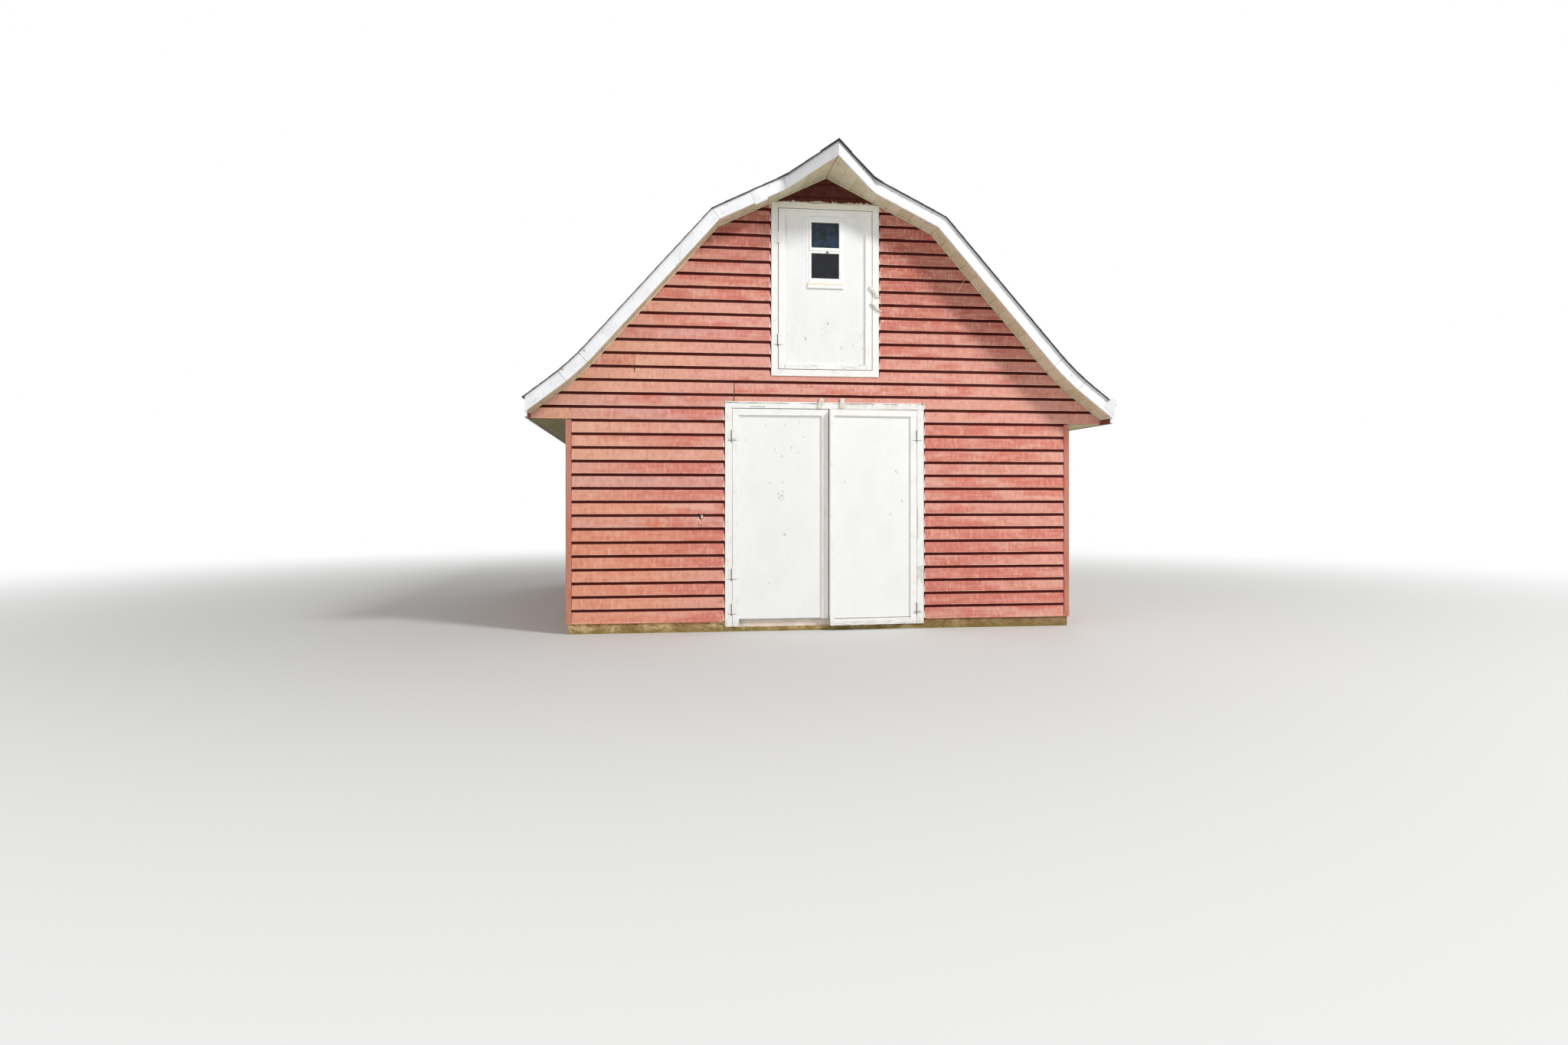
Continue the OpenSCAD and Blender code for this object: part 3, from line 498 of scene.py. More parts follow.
def corner_paint():
    """The same red on the corner boards, browner, with upright grain and knocks along the edges, and
    a dark brown of painted shade on the boards that close the eaves' ends."""
    f = Finish("corner_red")
    patch, cloud = f.noise((0.12, 0.12, 0.45), vary=9), f.noise((0.05, 0.05, 0.12), vary=7)
    smudge, tick = f.noise((0.012, 0.012, 0.07)), f.noise((0.004, 0.004, 0.03), 2, 0.5)
    knock = (tick * 0.5 + cloud * 0.5).fade(0.58, 0.63)
    bare = (f.z + smudge.off(0.5)).fade(0.45, 0.15) * tick.fade(0.56, 0.62)
    body = f.coats(red_body(f, patch, cloud, smudge, tick), (0.55, (170, 106, 84)),
                   # painted shade: the boards that close the eaves' ends are darkened to dark brown
                   (f.y.fade(-2.883, -2.890) * 0.85, (92, 52, 42)),
                   (knock * 0.6, (150, 84, 68)), (bare * 0.6, (214, 176, 152)))
    return f.done(body, 0.80 + patch.off(0.2), smudge * 0.6 + tick * 0.4, 0.0012, Specular_IOR_Level=0.25)


def trim_paint(name, base, damage):
    """Old white paint on boards: fine cracks and bare flakes that run with the grain, which the
    attribute lie turns level on boards that lie along X."""
    f = Finish(name)
    lie = f.attribute("lie")

    def grained(size, long, detail, vary):
        upright, level = (f.spread(s, vary) for s in ((size, size, size * long), (size * long, size, size)))
        place = f.node("Mix", {"data_type": "VECTOR"}, {0: lie, 4: upright, 5: level}, 1)
        return f.noise_at(place, detail, 0.6)

    grain, streak = grained(0.004, 12, 3, 13), grained(0.012, 14, 4, 7)
    cloud, speck = f.noise(0.10, 4, 0.6, 11), f.noise(0.006, 3, 0.6)
    crack = abs(streak - 0.5).fade(0.007, 0.002) * cloud.fade(0.58, 0.66)
    flake = (streak * 0.5 + speck * 0.5 + cloud.off(0.25)).fade(0.675 - 0.03 * damage, 0.70 - 0.03 * damage)
    body = f.coats(base, (cloud.fade(0.42, 0.72) * 0.35, (232, 230, 222)),
                   (grain.fade(0.58, 0.42) * 0.08, (196, 192, 180)),
                   (flake * 0.6, (172, 164, 150)), (crack * damage, (112, 106, 98)))
    return f, body, grain, streak, cloud, speck, crack, flake


def hinge_shade_and_rust(f, speck):
    """Round the hinges: a line of painted shade along each hinge's foot that runs past its plates,
    broken up by specks, and a drop of rust below the barrel. The upper loft hinge is painted over and has
    none."""
    shade_and_rust = []
    for axis, feet in zip(HINGE_AXES, (HINGE_FEET[:3], HINGE_FEET[3:5], HINGE_FEET[5:6])):
        across = abs(f.x - axis).fade(0.050, 0.044)
        for foot in feet:
            # painted shade under the hinge's foot, broken up by specks
            line = abs(f.z - foot + speck.off(0.010)).fade(0.0036, 0.0014) * across * speck.fade(0.36, 0.44)
            shade_and_rust.append(line.most(f.spot(axis - 0.008, foot - 0.010, 0.006, 0.010, speck.off(2))))
    return any_of(*shade_and_rust)


def casing_paint():
    """Casing paint: a ragged crack runs just under the head casing's top edge, its right end is
    weathered bare, the right casing has a crack and a grey patch, and painted shade and rust lie
    round the hinges. The loft casing's head is tinted cream as painted warm light, with a brown
    stain along its top edge."""
    f, body, grain, streak, cloud, speck, crack, flake = trim_paint("casing_white", (247, 246, 242), 0.5)
    bare = f.box(0.19, 0.95, 2.135, 2.19, 0.04) * (grain * 0.6 + cloud * 0.4).fade(0.44, 0.58)
    ragged = streak.off(0.018) + speck.off(0.006)
    line = abs(f.z - 2.174 + ragged).fade(0.0040, 0.0018) * f.box(-0.97, 0.95, 2.15, 2.19, 0.004)
    line = line * (cloud + f.x.fade(0.0, -0.6) * 0.2).fade(0.46, 0.54)
    split = abs(f.z - 2.139 + speck.off(0.022)).fade(0.0036, 0.001) * f.box(-0.73, -0.60, 2.12, 2.16, 0.02)
    side = abs(f.x - 0.906 + cloud.off(0.004)).fade(0.0025, 0.001) * f.box(0.9, 0.92, 0.88, 1.17, 0.02)
    # dark: cracks, plus the painted shade and rust round the hinges
    dark = any_of(line, split, side, hinge_shade_and_rust(f, speck) * 0.8)
    grey = f.box(0.90, 0.96, 0.44, 0.62, 0.02) * cloud.fade(0.45, 0.58)
    foot = f.z.fade(0.16, 0.05) * (streak * 0.6 + speck * 0.4).fade(0.47, 0.56)
    stain = (f.z + streak.off(0.06) + speck.off(0.02)).fade(4.090, 4.108)
    knocked = f.spot(0.9537, 2.183, 0.008, 0.006, speck - 0.5)
    body = f.coats(body, (bare * 0.65, (216, 208, 196)), (dark * 0.85, (78, 66, 58)),
                   (grey * 0.5, (184, 180, 170)), (knocked, (60, 48, 40)),
                   # painted warm light: the loft casing's head is tinted cream
                   (foot * 0.6, (168, 152, 130)), (f.z.fade(4.00, 4.07) * 0.45, (234, 228, 200)),
                   (stain * 0.75, (150, 112, 84)))
    height = 0.4 * grain + 0.3 * streak - crack.most(dark) - 0.4 * flake
    return f.done(body, 0.55 + cloud.off(0.3) + flake * 0.2, height, 0.0010)


def leaf_paint():
    """The same paint on the leaves' and loft door's frames, cleaner than the casings, with painted shade
    and rust round the hinges. The loft door's bottom rail is peeling, the left leaf's meeting stile is grimy
    and the window's sill is creamy."""
    f, body, grain, streak, cloud, speck, crack, flake = trim_paint("leaf_white", (248, 248, 246), 0.2)
    peel = f.box(-0.47, 0.46, 2.512, 2.553, 0.004) * (streak * 0.5 + speck * 0.5).fade(0.55, 0.60)
    meeting = f.box(-0.080, -0.008, 0.05, 2.045, 0.002) * streak.fade(0.30, 0.60)
    foot = f.z.fade(0.12, 0.05) * (streak * 0.6 + speck * 0.4).fade(0.47, 0.56)
    # the coats include the painted shade and rust round the hinges
    body = f.coats(body, (peel * 0.75, (128, 120, 110)), (meeting * 0.5, (224, 216, 202)),
                   (hinge_shade_and_rust(f, speck) * 0.7, (84, 78, 74)), (foot * 0.6, (170, 156, 136)),
                   (f.box(-0.180, 0.175, 3.316, 3.336, 0.003) * 0.6, (226, 216, 188)))
    height = 0.4 * grain + 0.3 * streak - crack - 0.5 * flake.most(peel)
    return f.done(body, 0.52 + cloud.off(0.3), height, 0.0008)


def sheet_paint(name, dots, grooved=False):
    """White paint on sheet siding: faint upright grain and small chipped dots, each a dark nick in
    a pale scar; broad dots are a scar alone; a thin line of painted shade runs along each sheet's foot.
    A grooved sheet has grooves every 15 mm, darkened with painted shade, and short upright cracks low down."""
    f = Finish(name)
    grain, ribs = f.noise((0.003, 0.003, 0.09), 3, 0.6), f.noise((0.010, 0.010, 0.60), 3, 0.6)
    cloud, speck = f.noise((0.20, 0.20, 0.35)), f.noise(0.0045, 3, 0.6)
    body = f.mix(cloud.fade(0.40, 0.72) * 0.35, (244, 245, 244), (234, 235, 235))
    body = f.mix(grain.fade(0.58, 0.42) * 0.08, body, (206, 207, 206))
    height = 0.4 * grain + 0.4 * ribs
    if grooved:
        # groove: the grooves are darkened with painted shade as well as cut in by the bump
        groove = abs((f.x / 0.015 + ribs.off(0.5)).part() - 0.5).fade(0.36, 0.48)
        nicks = f.noise((0.0040, 0.0040, 0.030), 2, 0.5).fade(0.62, 0.67) * f.z.fade(3.15, 2.80)
        nicks = nicks * (cloud + ribs * 0.5 + f.x * 0.25).fade(0.71, 0.82)
        body = f.coats(body, (groove * 0.30, (196, 198, 198)), (nicks * 0.6, (120, 114, 106)))
        height = height - groove * 0.8 - nicks * 0.6
    broad, share = 0.03, 0.40
    scar = any_of(*(f.spot(x, z, w, h, speck.off(3.4)) for x, z, w, h in dots))
    nick = any_of(*(f.spot(x, z, w * share, h * share, speck.off(4)) for x, z, w, h in dots if w < broad))
    # foot: a thin line of painted shade along the sheet's foot, at its joint with the rail
    foot = (f.z + ribs.off(0.006)).fade(0.122, 0.116)
    body = f.coats(body, (scar * 0.4, (206, 202, 196)), (nick * 0.75, (112, 106, 100)),
                   (foot * 0.7, (104, 96, 88)))
    return f.done(body, 0.50 + cloud.off(0.3), height - scar * 0.4 - nick * 0.5, 0.0010)


def metal_wrap():
    """White coated metal: smooth, with faint grime that gathers in streaks, painted shade along the
    eave fascias' lower edge, and two small patches of painted shade at the left rake's bent joints."""
    f = Finish("white_metal_wrap")
    cloud, run = f.noise(0.16, 4, 0.6, 9), f.noise((0.02, 0.02, 0.12))
    # bent: two small patches of painted shade at the left rake's bent joints
    bent = f.spot(-2.2700, 2.604, 0.012, 0.006, 0).most(f.spot(-2.4640, 2.430, 0.012, 0.006, 0))
    body = f.coats((244, 245, 247), (cloud.fade(0.40, 0.72) * 0.45, (222, 224, 226)),
                   ((run + cloud.off(0.5)).fade(0.60, 0.78) * 0.35, (196, 190, 178)),
                   # painted shade along the eave fascias' lower edge
                   (f.z.fade(EAVE_Z + 0.008, EAVE_Z + 0.003) * 0.8, (92, 90, 84)),
                   (bent * f.y.fade(-3.0, -3.1) * 0.8, (92, 92, 94)))
    return f.done(body, 0.36 + cloud.off(0.25), f.noise(0.07, 2, 0.4, 3), 0.0035)


def soffit_paint():
    """Cream paint on narrow boards, yellowed and stained; under the eaves darker and yellower, partly as
    painted shade, and at the left eave a dark olive green that is painted shade with a painted green
    reflection.
    """
    f = Finish("cream_soffit")
    cloud, grain = f.noise(0.13, 4, 0.6, 23), f.noise((0.004, 0.09, 0.004), 3, 0.6, 7)
    eave = f.z.fade(2.025, 2.015)
    # eave: painted shade under the eaves; at the left eave, painted shade with a painted green reflection
    body = f.coats((230, 224, 196), ((cloud + f.tone.off(0.4)).fade(0.30, 0.75), (212, 204, 170)),
                   (grain.fade(0.58, 0.42) * 0.2, (176, 160, 130)),
                   (cloud.fade(0.62, 0.74) * 0.35, (168, 150, 120)),
                   (eave * 0.75, (196, 188, 128)), (eave * f.x.fade(-2.4, -2.5) * 0.80, (106, 112, 44)))
    return f.done(body, 0.62 + cloud.off(0.3), grain, 0.0006)


def asphalt():
    """Charcoal shingles: fine mineral grains and a tone for each tab."""
    f = Finish("charcoal_shingle")
    grit = f.node("SeparateColor", {}, {0: f.cells(f.place, 420.0, "Color")})
    cloud = f.noise(0.25, 4, 0.6)
    body = f.coats((58, 58, 60), (f.tone, (82, 80, 80)), (grit.fade(0.55, 1.0) * 0.6, (120, 116, 112)),
                   (grit.fade(0.35, 0.0) * 0.7, (34, 34, 36)), (cloud.fade(0.45, 0.70) * 0.4, (96, 92, 84)))
    return f.done(body, 0.92 + cloud.off(0.1), grit, 0.0012)


def sawn_timber(name, size):
    """Bare softwood: long grain with darker bands and small knots. Size is the grain's length on
    each axis."""
    f = Finish(name)
    grain, band = f.noise(size, 5, 0.62, bent=0.4), f.noise(tuple(3.5 * s for s in size), 3, 0.5, bent=0.8)
    knot = f.cells(f.spread(tuple(s * 3 if s > 0.05 else 0.11 for s in size)), 1.0)
    body = f.coats((205, 172, 126), (band.fade(0.35, 0.70), (178, 140, 94)),
                   (grain.fade(0.56, 0.40) * 0.5, (146, 108, 68)),
                   (knot.fade(0.09, 0.05) * 0.8, (92, 60, 36)))
    return f.done(body, 0.74 + band.off(0.25), grain, 0.0012)


def wall_timber():
    """Wall frames: upright studs with grain along Z; the sheathing behind them is rough sheet, and
    black building felt covers its outer face, a dark sheet that stands for the shade in the gaps and the hole
    in the siding."""
    f = Finish("wall_timber")
    sheathing, felt = 0.0115, 0.0105
    grain, band = f.noise((0.006, 0.006, 0.25), 5, 0.62, bent=0.4), f.noise((0.03, 0.03, 0.9), 3, 0.5)
    chip = f.noise((0.05, 0.05, 0.018), 3, 0.7)
    stud = f.coats((208, 176, 132), (band.fade(0.35, 0.70), (180, 142, 98)),
                   (grain.fade(0.56, 0.40) * 0.5, (146, 108, 68)))
    sheet = f.mix(chip.fade(0.35, 0.65), (196, 158, 106), (164, 122, 76))
    depth = any_of(abs(f.x) - (HALF_W - sheathing), CORE_Y + sheathing - f.y, f.y - (BACK_Y - sheathing))
    # felt: a black face on the sheathing, standing for the shade in the gaps and the hole in the siding
    body = f.coats(stud, (depth > 0, sheet), (depth > felt, (44, 42, 42)))
    return f.done(body, 0.80 + band.off(0.2), grain * 0.6 + chip * 0.4, 0.0012)


def old_concrete():
    """Cast concrete with pits, a yellowish growth low down, browner to the right; the floor inside
    is swept grey."""
    f = Finish("mossy_concrete")
    cloud, grit, chunk = f.noise(0.16, 5, 0.62), f.noise(0.008, 4, 0.7), f.noise((0.06, 0.06, 0.025), 4, 0.7)
    pit = f.cells(f.place, 55.0)
    floor = abs(f.x).fade(2.37, 2.34) * abs(f.y).fade(2.80, 2.77)
    swept = f.coats((176, 168, 154), (cloud.fade(0.35, 0.65), (146, 138, 124)),
                    (grit.fade(0.56, 0.38) * 0.35, (112, 104, 92)),
                    (chunk.fade(0.44, 0.34) * 0.35, (104, 92, 76)))
    body = f.coats((218, 188, 136), (cloud.fade(0.38, 0.62), (160, 126, 82)),
                   ((f.x + cloud.off(1.5)).fade(0.6, 1.6) * 0.65, (112, 82, 40)),
                   (chunk.fade(0.48, 0.36) * 0.8, (84, 62, 38)), (grit.fade(0.58, 0.36) * 0.5, (118, 96, 70)),
                   ((f.z + chunk.off(0.14)).fade(0.060, 0.0) * 0.7, (124, 112, 44)),
                   (pit.fade(0.10, 0.04) * 0.6, (96, 80, 62)), (floor, swept))
    return f.done(body, 0.92 + cloud.off(0.1), grit * 0.6 + cloud * 0.3 + pit.fade(0.05, 0.12) * 0.5, 0.003)


def threshold_wood():
    """A weathered sill board: grey-beige with open grain along X."""
    f = Finish("weathered_sill")
    grain, cloud = f.noise((0.30, 0.004, 0.004), 5, 0.65, bent=0.3), f.noise(0.12, 4, 0.6)
    body = f.coats((250, 240, 228), (cloud.fade(0.35, 0.68), (238, 224, 208)),
                   (grain.fade(0.50, 0.32) * 0.4, (164, 150, 136)))
    return f.done(body, 0.84 + cloud.off(0.2), grain, 0.0018)


def hinge_paint():
    """Hinges painted over with the doors: white, with painted shade down the left side of each barrel
    and along the plates' lower edges, and a little rust where the paint has cracked. The upper loft
    hinge has neither the rust nor the shade down its barrel."""
    f = Finish("painted_hinge")
    cloud, speck = f.noise(0.02, 4, 0.6), f.noise(0.004, 3, 0.65)
    rust = (speck * 0.6 + cloud * 0.4).fade(0.60, 0.65)
    # barrel_shade: painted shade down the barrel's left side
    barrel_shade = any_of(*(abs(f.x - axis + 0.0075).fade(0.0055, 0.0030) for axis in HINGE_AXES))
    crack = (speck * 0.7 + f.noise((0.003, 0.003, 0.012), 2, 0.5) * 0.3).fade(0.43, 0.38)
    # edge: painted shade along the plates' lower edges, broken up by specks
    edge = any_of(*(abs(f.z - foot + speck.off(0.006)).fade(0.0045, 0.0020) for foot in HINGE_FEET[:6]))
    below = f.z.fade(3.62, 3.60)
    dark = any_of(barrel_shade * below, edge * (speck + cloud).fade(0.80, 0.95), crack * 0.6)
    body = f.coats((247, 246, 242), (cloud.fade(0.40, 0.70) * 0.5, (230, 228, 220)),
                   (rust * below * 0.5, (150, 126, 106)), (dark * 0.85, (84, 78, 74)))
    return f.done(body, 0.50 + rust * 0.35, speck, 0.0006)


def button_finish():
    """Turn buttons: white paint worn to pale grey wood in streaks along them."""
    f = Finish("worn_button")
    grain, cloud = f.noise((0.008, 0.004, 0.03), 4, 0.62, bent=0.3), f.noise(0.03, 3, 0.6)
    body = f.coats((240, 237, 228), (cloud.fade(0.46, 0.62), (212, 202, 186)),
                   (grain.fade(0.50, 0.36) * 0.45, (160, 150, 136)))
    return f.done(body, 0.72 + cloud.off(0.2), grain, 0.0012)


def dark_iron():
    """Nail and screw heads: dark brown rust."""
    f = Finish("rusted_iron")
    speck = f.noise(0.003, 3, 0.6)
    body = f.mix(speck.fade(0.35, 0.65), (52, 40, 34), (98, 66, 46))
    return f.done(body, 0.75 + speck.off(0.3), speck, 0.0005, Metallic=0.2)


def window_glass():
    """Window glass: a dark, nearly opaque sheet that is painted shade of the loft behind it, with dust
    in faint runs and a mottled blue painted reflection in the upper pane."""
    f = Finish("loft_glass_finish")
    dust, mottle = f.noise((0.05, 0.05, 0.12), 4, 0.6), f.noise(0.07, 4, 0.7)
    # painted_reflection: a mottled blue painted reflection in the upper pane
    painted_reflection = f.mix(mottle.fade(0.38, 0.66), (20, 32, 34), (40, 58, 82))
    # the dark base colour is painted shade of the loft behind the glass
    body = f.coats((30, 31, 38), (f.z.fade(3.640, 3.650), painted_reflection), (dust.fade(0.45, 0.75) * 0.3, (60, 66, 74)))
    return f.done(body, 0.05 + dust.fade(0.5, 0.8) * 0.10, dust, 0.0003, Alpha=0.92, Specular_IOR_Level=0.28)


# ---------------------------------------------------------------- siding

# How along, out and up become x, y and z on each wall
WALLS = {
    "front": lambda along, out, up: (along, CORE_Y - out, up),
    "back": lambda along, out, up: (-along, BACK_Y + out, up),
    "right": lambda along, out, up: (HALF_W + out, along, up),
    "left": lambda along, out, up: (-HALF_W - out, -along, up),
}
# Boards: distance between rings, how far the first ring is from an end, the shortest board with
# rings between its ends, how far chips stay from an end, and the waves of lower edge and face
BOARD_STEP, BOARD_MARGIN, BOARD_SHORT, CHIP_CLEAR, SWAY, WARP = 0.09, 0.02, 0.03, 0.05, 0.0009, 0.0006
# Butt joints of the front gable by course; the boards over the door have parted at one place
PARTED = -0.885
GABLE_JOINTS = {0: (-2.404,), 1: (PARTED,), 2: (PARTED,), 3: (-1.816, 1.812), 4: (-1.820, 1.815)}


def lap_board(foot, low, high, left, right, wall, notch=None, chips=()):
    """A siding board: a wedge outline, BUTT thick at its course's foot and LAP_TOP at its top,
    carried along the wall from left to right, which are a number or follow the roof line. A notch
    (from, to, low, high) changes its lower or upper edge between two places. Chips (at, half width,
    height) nick its lower edge, or its upper edge where the height is below zero."""
    rows = np.array([0, 0, 0.012, 0.35, 0.7, 1, 1])
    drawn = np.array([0, 1, 1, 1, 1, 1, 0])
    inset = np.array([0, 0.0015, 0, 0, 0, 0, 0])
    ends = low + rows * (high - low)
    edge = [gable_half(ends) * side if v == "roof" else np.full(7, v) for v, side in ((left, -1), (right, 1))]
    first, last = edge[0].max(), edge[1].min()
    margin = min(BOARD_MARGIN, (last - first) / 4)
    count = max(2, int((last - first) / BOARD_STEP)) if last - first >= BOARD_SHORT else 0
    along, inside = np.linspace(first + margin, last - margin, count), np.zeros(count, bool)
    if notch:
        x0, x1 = notch[:2]
        along = along[(np.abs(along - x0) > 0.01) & (np.abs(along - x1) > 0.01)]
        inside = np.concatenate([(along > x0) & (along < x1), [False, True, True, False]])
        along = np.concatenate([along, [x0, x0, x1, x1]])
        order = np.lexsort((np.where(along == x0, inside, ~inside), along))
        along, inside = along[order], inside[order]
    nicks = [at + half * k for at, half, _ in chips for k in (-1, -0.5, 0, 0.4, 1)]
    along, inside = np.concatenate([along, nicks]), np.concatenate([inside, np.zeros(len(nicks), bool)])
    order = np.argsort(along, kind="stable")
    along, inside = along[order], inside[order]
    new_low, new_high = notch[2:] if notch else (low, high)
    lows, highs = np.where(inside, new_low, low), np.where(inside, new_high, high)
    seed = new_seed()
    cut = np.array([h * np.clip(1 - np.abs(along - at) / half, 0, 1) for at, half, h in chips])
    cut = cut.reshape(len(chips), len(along))
    highs = highs + np.minimum(cut, 0).sum(0)
    z = lows[:, None] + rows * (highs - lows)[:, None]
    lift = np.where(lows == low, SWAY * stir(along, 0.25, seed), 0) + np.maximum(cut, 0).sum(0)
    z[:, :3] += lift[:, None]
    x, z = np.vstack([edge[0], np.repeat(along[:, None], 7, 1), edge[1]]), np.vstack([ends, z, ends])
    out = (BUTT - (BUTT - LAP_TOP) * (z - foot) / COURSE - inset) * drawn
    warp = np.concatenate([[0], WARP * stir(along, 0.31, seed + 1), [0]])
    out = np.clip(out + warp[:, None] * drawn, 0, BUTT)
    return tubes(np.stack(WALLS[wall](x, out, z), -1)[None])


def joint_gap(at):
    """Half the gap of a butt joint."""
    return 0.004 if at == PARTED else 0.0012


def board_course(foot, low, top, left, right, wall, joints=(), chips=()):
    """One course of siding between left and right, butted at the joints."""
    starts = [left, *(j + joint_gap(j) for j in joints)]
    ends = [*(j - joint_gap(j) for j in joints), right]
    parts = []
    for a, b in zip(starts, ends):
        here = [c for c in chips if (a == "roof" or c[0] > a + CHIP_CLEAR)
                and (b == "roof" or c[0] < b - CHIP_CLEAR)]
        parts.append(lap_board(foot, low, top, a, b, wall, chips=here))
    return parts


def random_joints(left, right, longest=3.4):
    """Places of butt joints along a course, so that no board is longer than longest."""
    count = int((right - left) // longest) + 1
    if count == 1:
        return []
    cuts = left + (right - left) * (np.arange(1, count) / count + chance.uniform(-0.12, 0.12, count - 1))
    return cuts.tolist()


def random_chips(left, right, every=1.3):
    """Small nicks in a board's lower edge."""
    ranges = (left + 0.08, right - 0.08), (0.004, 0.012), (0.002, 0.006)
    return [tuple(float(chance.uniform(*r)) for r in ranges) for _ in range(int((right - left) / every))]


def wall_siding(left, right, wall):
    """The courses of a plain stretch of wall, up to the eave. One of the front has the hole."""
    parts = []
    for k in range(round((EAVE_Z - SILL_Z) / COURSE)):
        foot, chips = SILL_Z + LAP_RISE + k * COURSE, random_chips(left, right)
        if wall == "front" and k == HOLE_COURSE:
            chips = [HOLE]
        parts += board_course(foot, foot if k else SILL_Z, foot + COURSE, left, right, wall,
                              random_joints(left, right), chips)
    return parts


def gable_siding(wall, openings, joints):
    """The gable's courses, cut to the roof line and to the casings. A casing that crosses a whole
    course splits it; one that ends inside a course notches it, or splits it near the roof."""
    parts = []
    top_z = ROOF_LINE[0, 1] - 0.001
    for k in range(math.ceil((top_z - EAVE_Z) / COURSE)):
        foot, stops = EAVE_Z + LAP_RISE + k * COURSE, joints.get(k, ())
        top = min(foot + COURSE, top_z)
        chips = random_chips(-gable_half(top), gable_half(top))
        crossing = [o for o in openings if o[2] < top and o[3] > foot]
        if not crossing:
            low = foot if k else EAVE_Z + LAP_RISE / 2
            parts += board_course(foot, low, top, "roof", "roof", wall, stops, chips)
            continue
        x0, x1, z0, z1 = crossing[0]
        x0, x1, under, over = x0 - CASING_GAP, x1 + CASING_GAP, z0 - CASING_GAP, z1 + CASING_GAP
        if z0 <= foot and z1 >= top:
            parts += board_course(foot, foot, top, "roof", x0, wall, [j for j in stops if j < x0])
            parts += board_course(foot, foot, top, x1, "roof", wall, [j for j in stops if j > x1])
        elif z0 <= foot and gable_half(top) < x1:
            parts.append(lap_board(foot, foot, min(top, float(roof_z(x0))), "roof", x0, wall))
            parts.append(lap_board(foot, foot, min(top, float(roof_z(x1))), x1, "roof", wall))
            parts.append(lap_board(foot, over, top, "roof", "roof", wall))
        else:
            edges = (over, top) if z0 <= foot else (foot, under)
            if stops:
                # the notch lies across the joint: each board takes its own share
                a, b = stops[0] - joint_gap(stops[0]), stops[0] + joint_gap(stops[0])
                parts.append(lap_board(foot, foot, top, "roof", a, wall, (x0, a - JOINT, *edges)))
                parts.append(lap_board(foot, foot, top, b, "roof", wall, (b + JOINT, x1, *edges)))
            else:
                clear = [c for c in chips if c[0] < x0 - CHIP_CLEAR or c[0] > x1 + CHIP_CLEAR]
                parts.append(lap_board(foot, foot, top, "roof", "roof", wall, (x0, x1, *edges), clear))
    return parts


RED = siding_paint(), "red_siding"
edge = SIDING_HALF - END_GAP
front = wall_siding(-edge, DOOR_CASING[0] - CASING_GAP, "front")
front += wall_siding(DOOR_CASING[1] + CASING_GAP, edge, "front")
gable = gable_siding("front", [DOOR_CASING, LOFT_CASING], GABLE_JOINTS)
sides = wall_siding(SIDE_FROM + END_GAP, SIDE_TO - END_GAP, "right")
sides += wall_siding(-SIDE_TO + END_GAP, -SIDE_FROM - END_GAP, "left")
back = wall_siding(-edge, edge, "back") + gable_siding("back", [], {})
for label, parts, node in (("front", front, "siding_front"), ("gable", gable, "siding_front_gable"),
                           ("side", sides, "siding_sides"), ("back", back, "siding_back")):
    make_piece(label + "_siding_boards", parts, RED, node, weld=1e-6)


# ---------------------------------------------------------------- boards of the trim and the doors

def corner_posts():
    """Corner boards: a wide board on the gable wall and a narrow one round the corner. The front
    left board is frayed along its outer edge."""
    (_, outer), y, _ = span("corner_boards")
    up, parts = (SILL_Z, EAVE_Z), []
    for side in (-1, 1):
        for y_out, y_in, y_end in ((y[0], CORE_Y, SIDE_FROM), (y[1], BACK_Y, SIDE_TO)):
            parts.append(plank((side * outer, side * SIDING_HALF), (y_out, y_in), up, 2, spacing=0.02))
            parts.append(plank((side * outer, side * HALF_W), (y_in, y_end), up, 2))
    x, _, z = parts[0][0].T
    edge, frayed_from, frayed_to, depth = -outer + 0.012, 0.10, 0.62, 0.010
    bite = np.clip(stir(z, 0.012, 5) + stir(z, 0.045, 6), 0, 1) * depth
    x += np.where((x < edge) & (z > frayed_from) & (z < frayed_to), bite, 0)
    return parts


def framed(x, y, z, left, right, top, bottom=0):
    """A rail-and-stile frame: the top rail runs over the stiles, and the bottom rail, where there is
    one, stands between them."""
    (x0, x1), (z0, z1) = x, z
    upright = z0, z1 - top - JOINT
    parts = [plank(x, y, (z1 - top, z1), 0), plank((x0, x0 + left), y, upright, 2),
             plank((x1 - right, x1), y, upright, 2)]
    if bottom:
        parts.append(plank((x0 + left + JOINT, x1 - right - JOINT), y, (z0, z0 + bottom), 0))
    return parts


def edge_batten(x0, head):
    """A square upright that stiffens a leaf's free edge, behind its sheet and clear of the sill."""
    over_sill, under_head = 0.012, 0.004
    back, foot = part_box("left_door_panel")[1].y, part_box("door_threshold")[1].z + over_sill
    return plank((x0, x0 + BATTEN), (back, back + BATTEN), (foot, head - under_head), 2)


def door_casing_boards():
    """Side casings and a head casing in two lengths, butted over the right leaf."""
    x0, x1, _, z1 = DOOR_CASING
    butt, half_gap, wide, over_leaf = 0.4508, 0.0014, 0.0663, 0.006
    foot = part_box("left_door_frame")[1].z + over_leaf
    y, upright, head = (TRIM_Y, CORE_Y), (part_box("door_casing")[0].z, foot - JOINT), (foot, z1)
    return [plank((x0, x0 + wide), y, upright, 2), plank((x1 - wide, x1), y, upright, 2),
            plank((x0, butt - half_gap), y, head, 0), plank((butt + half_gap, x1), y, head, 0)]


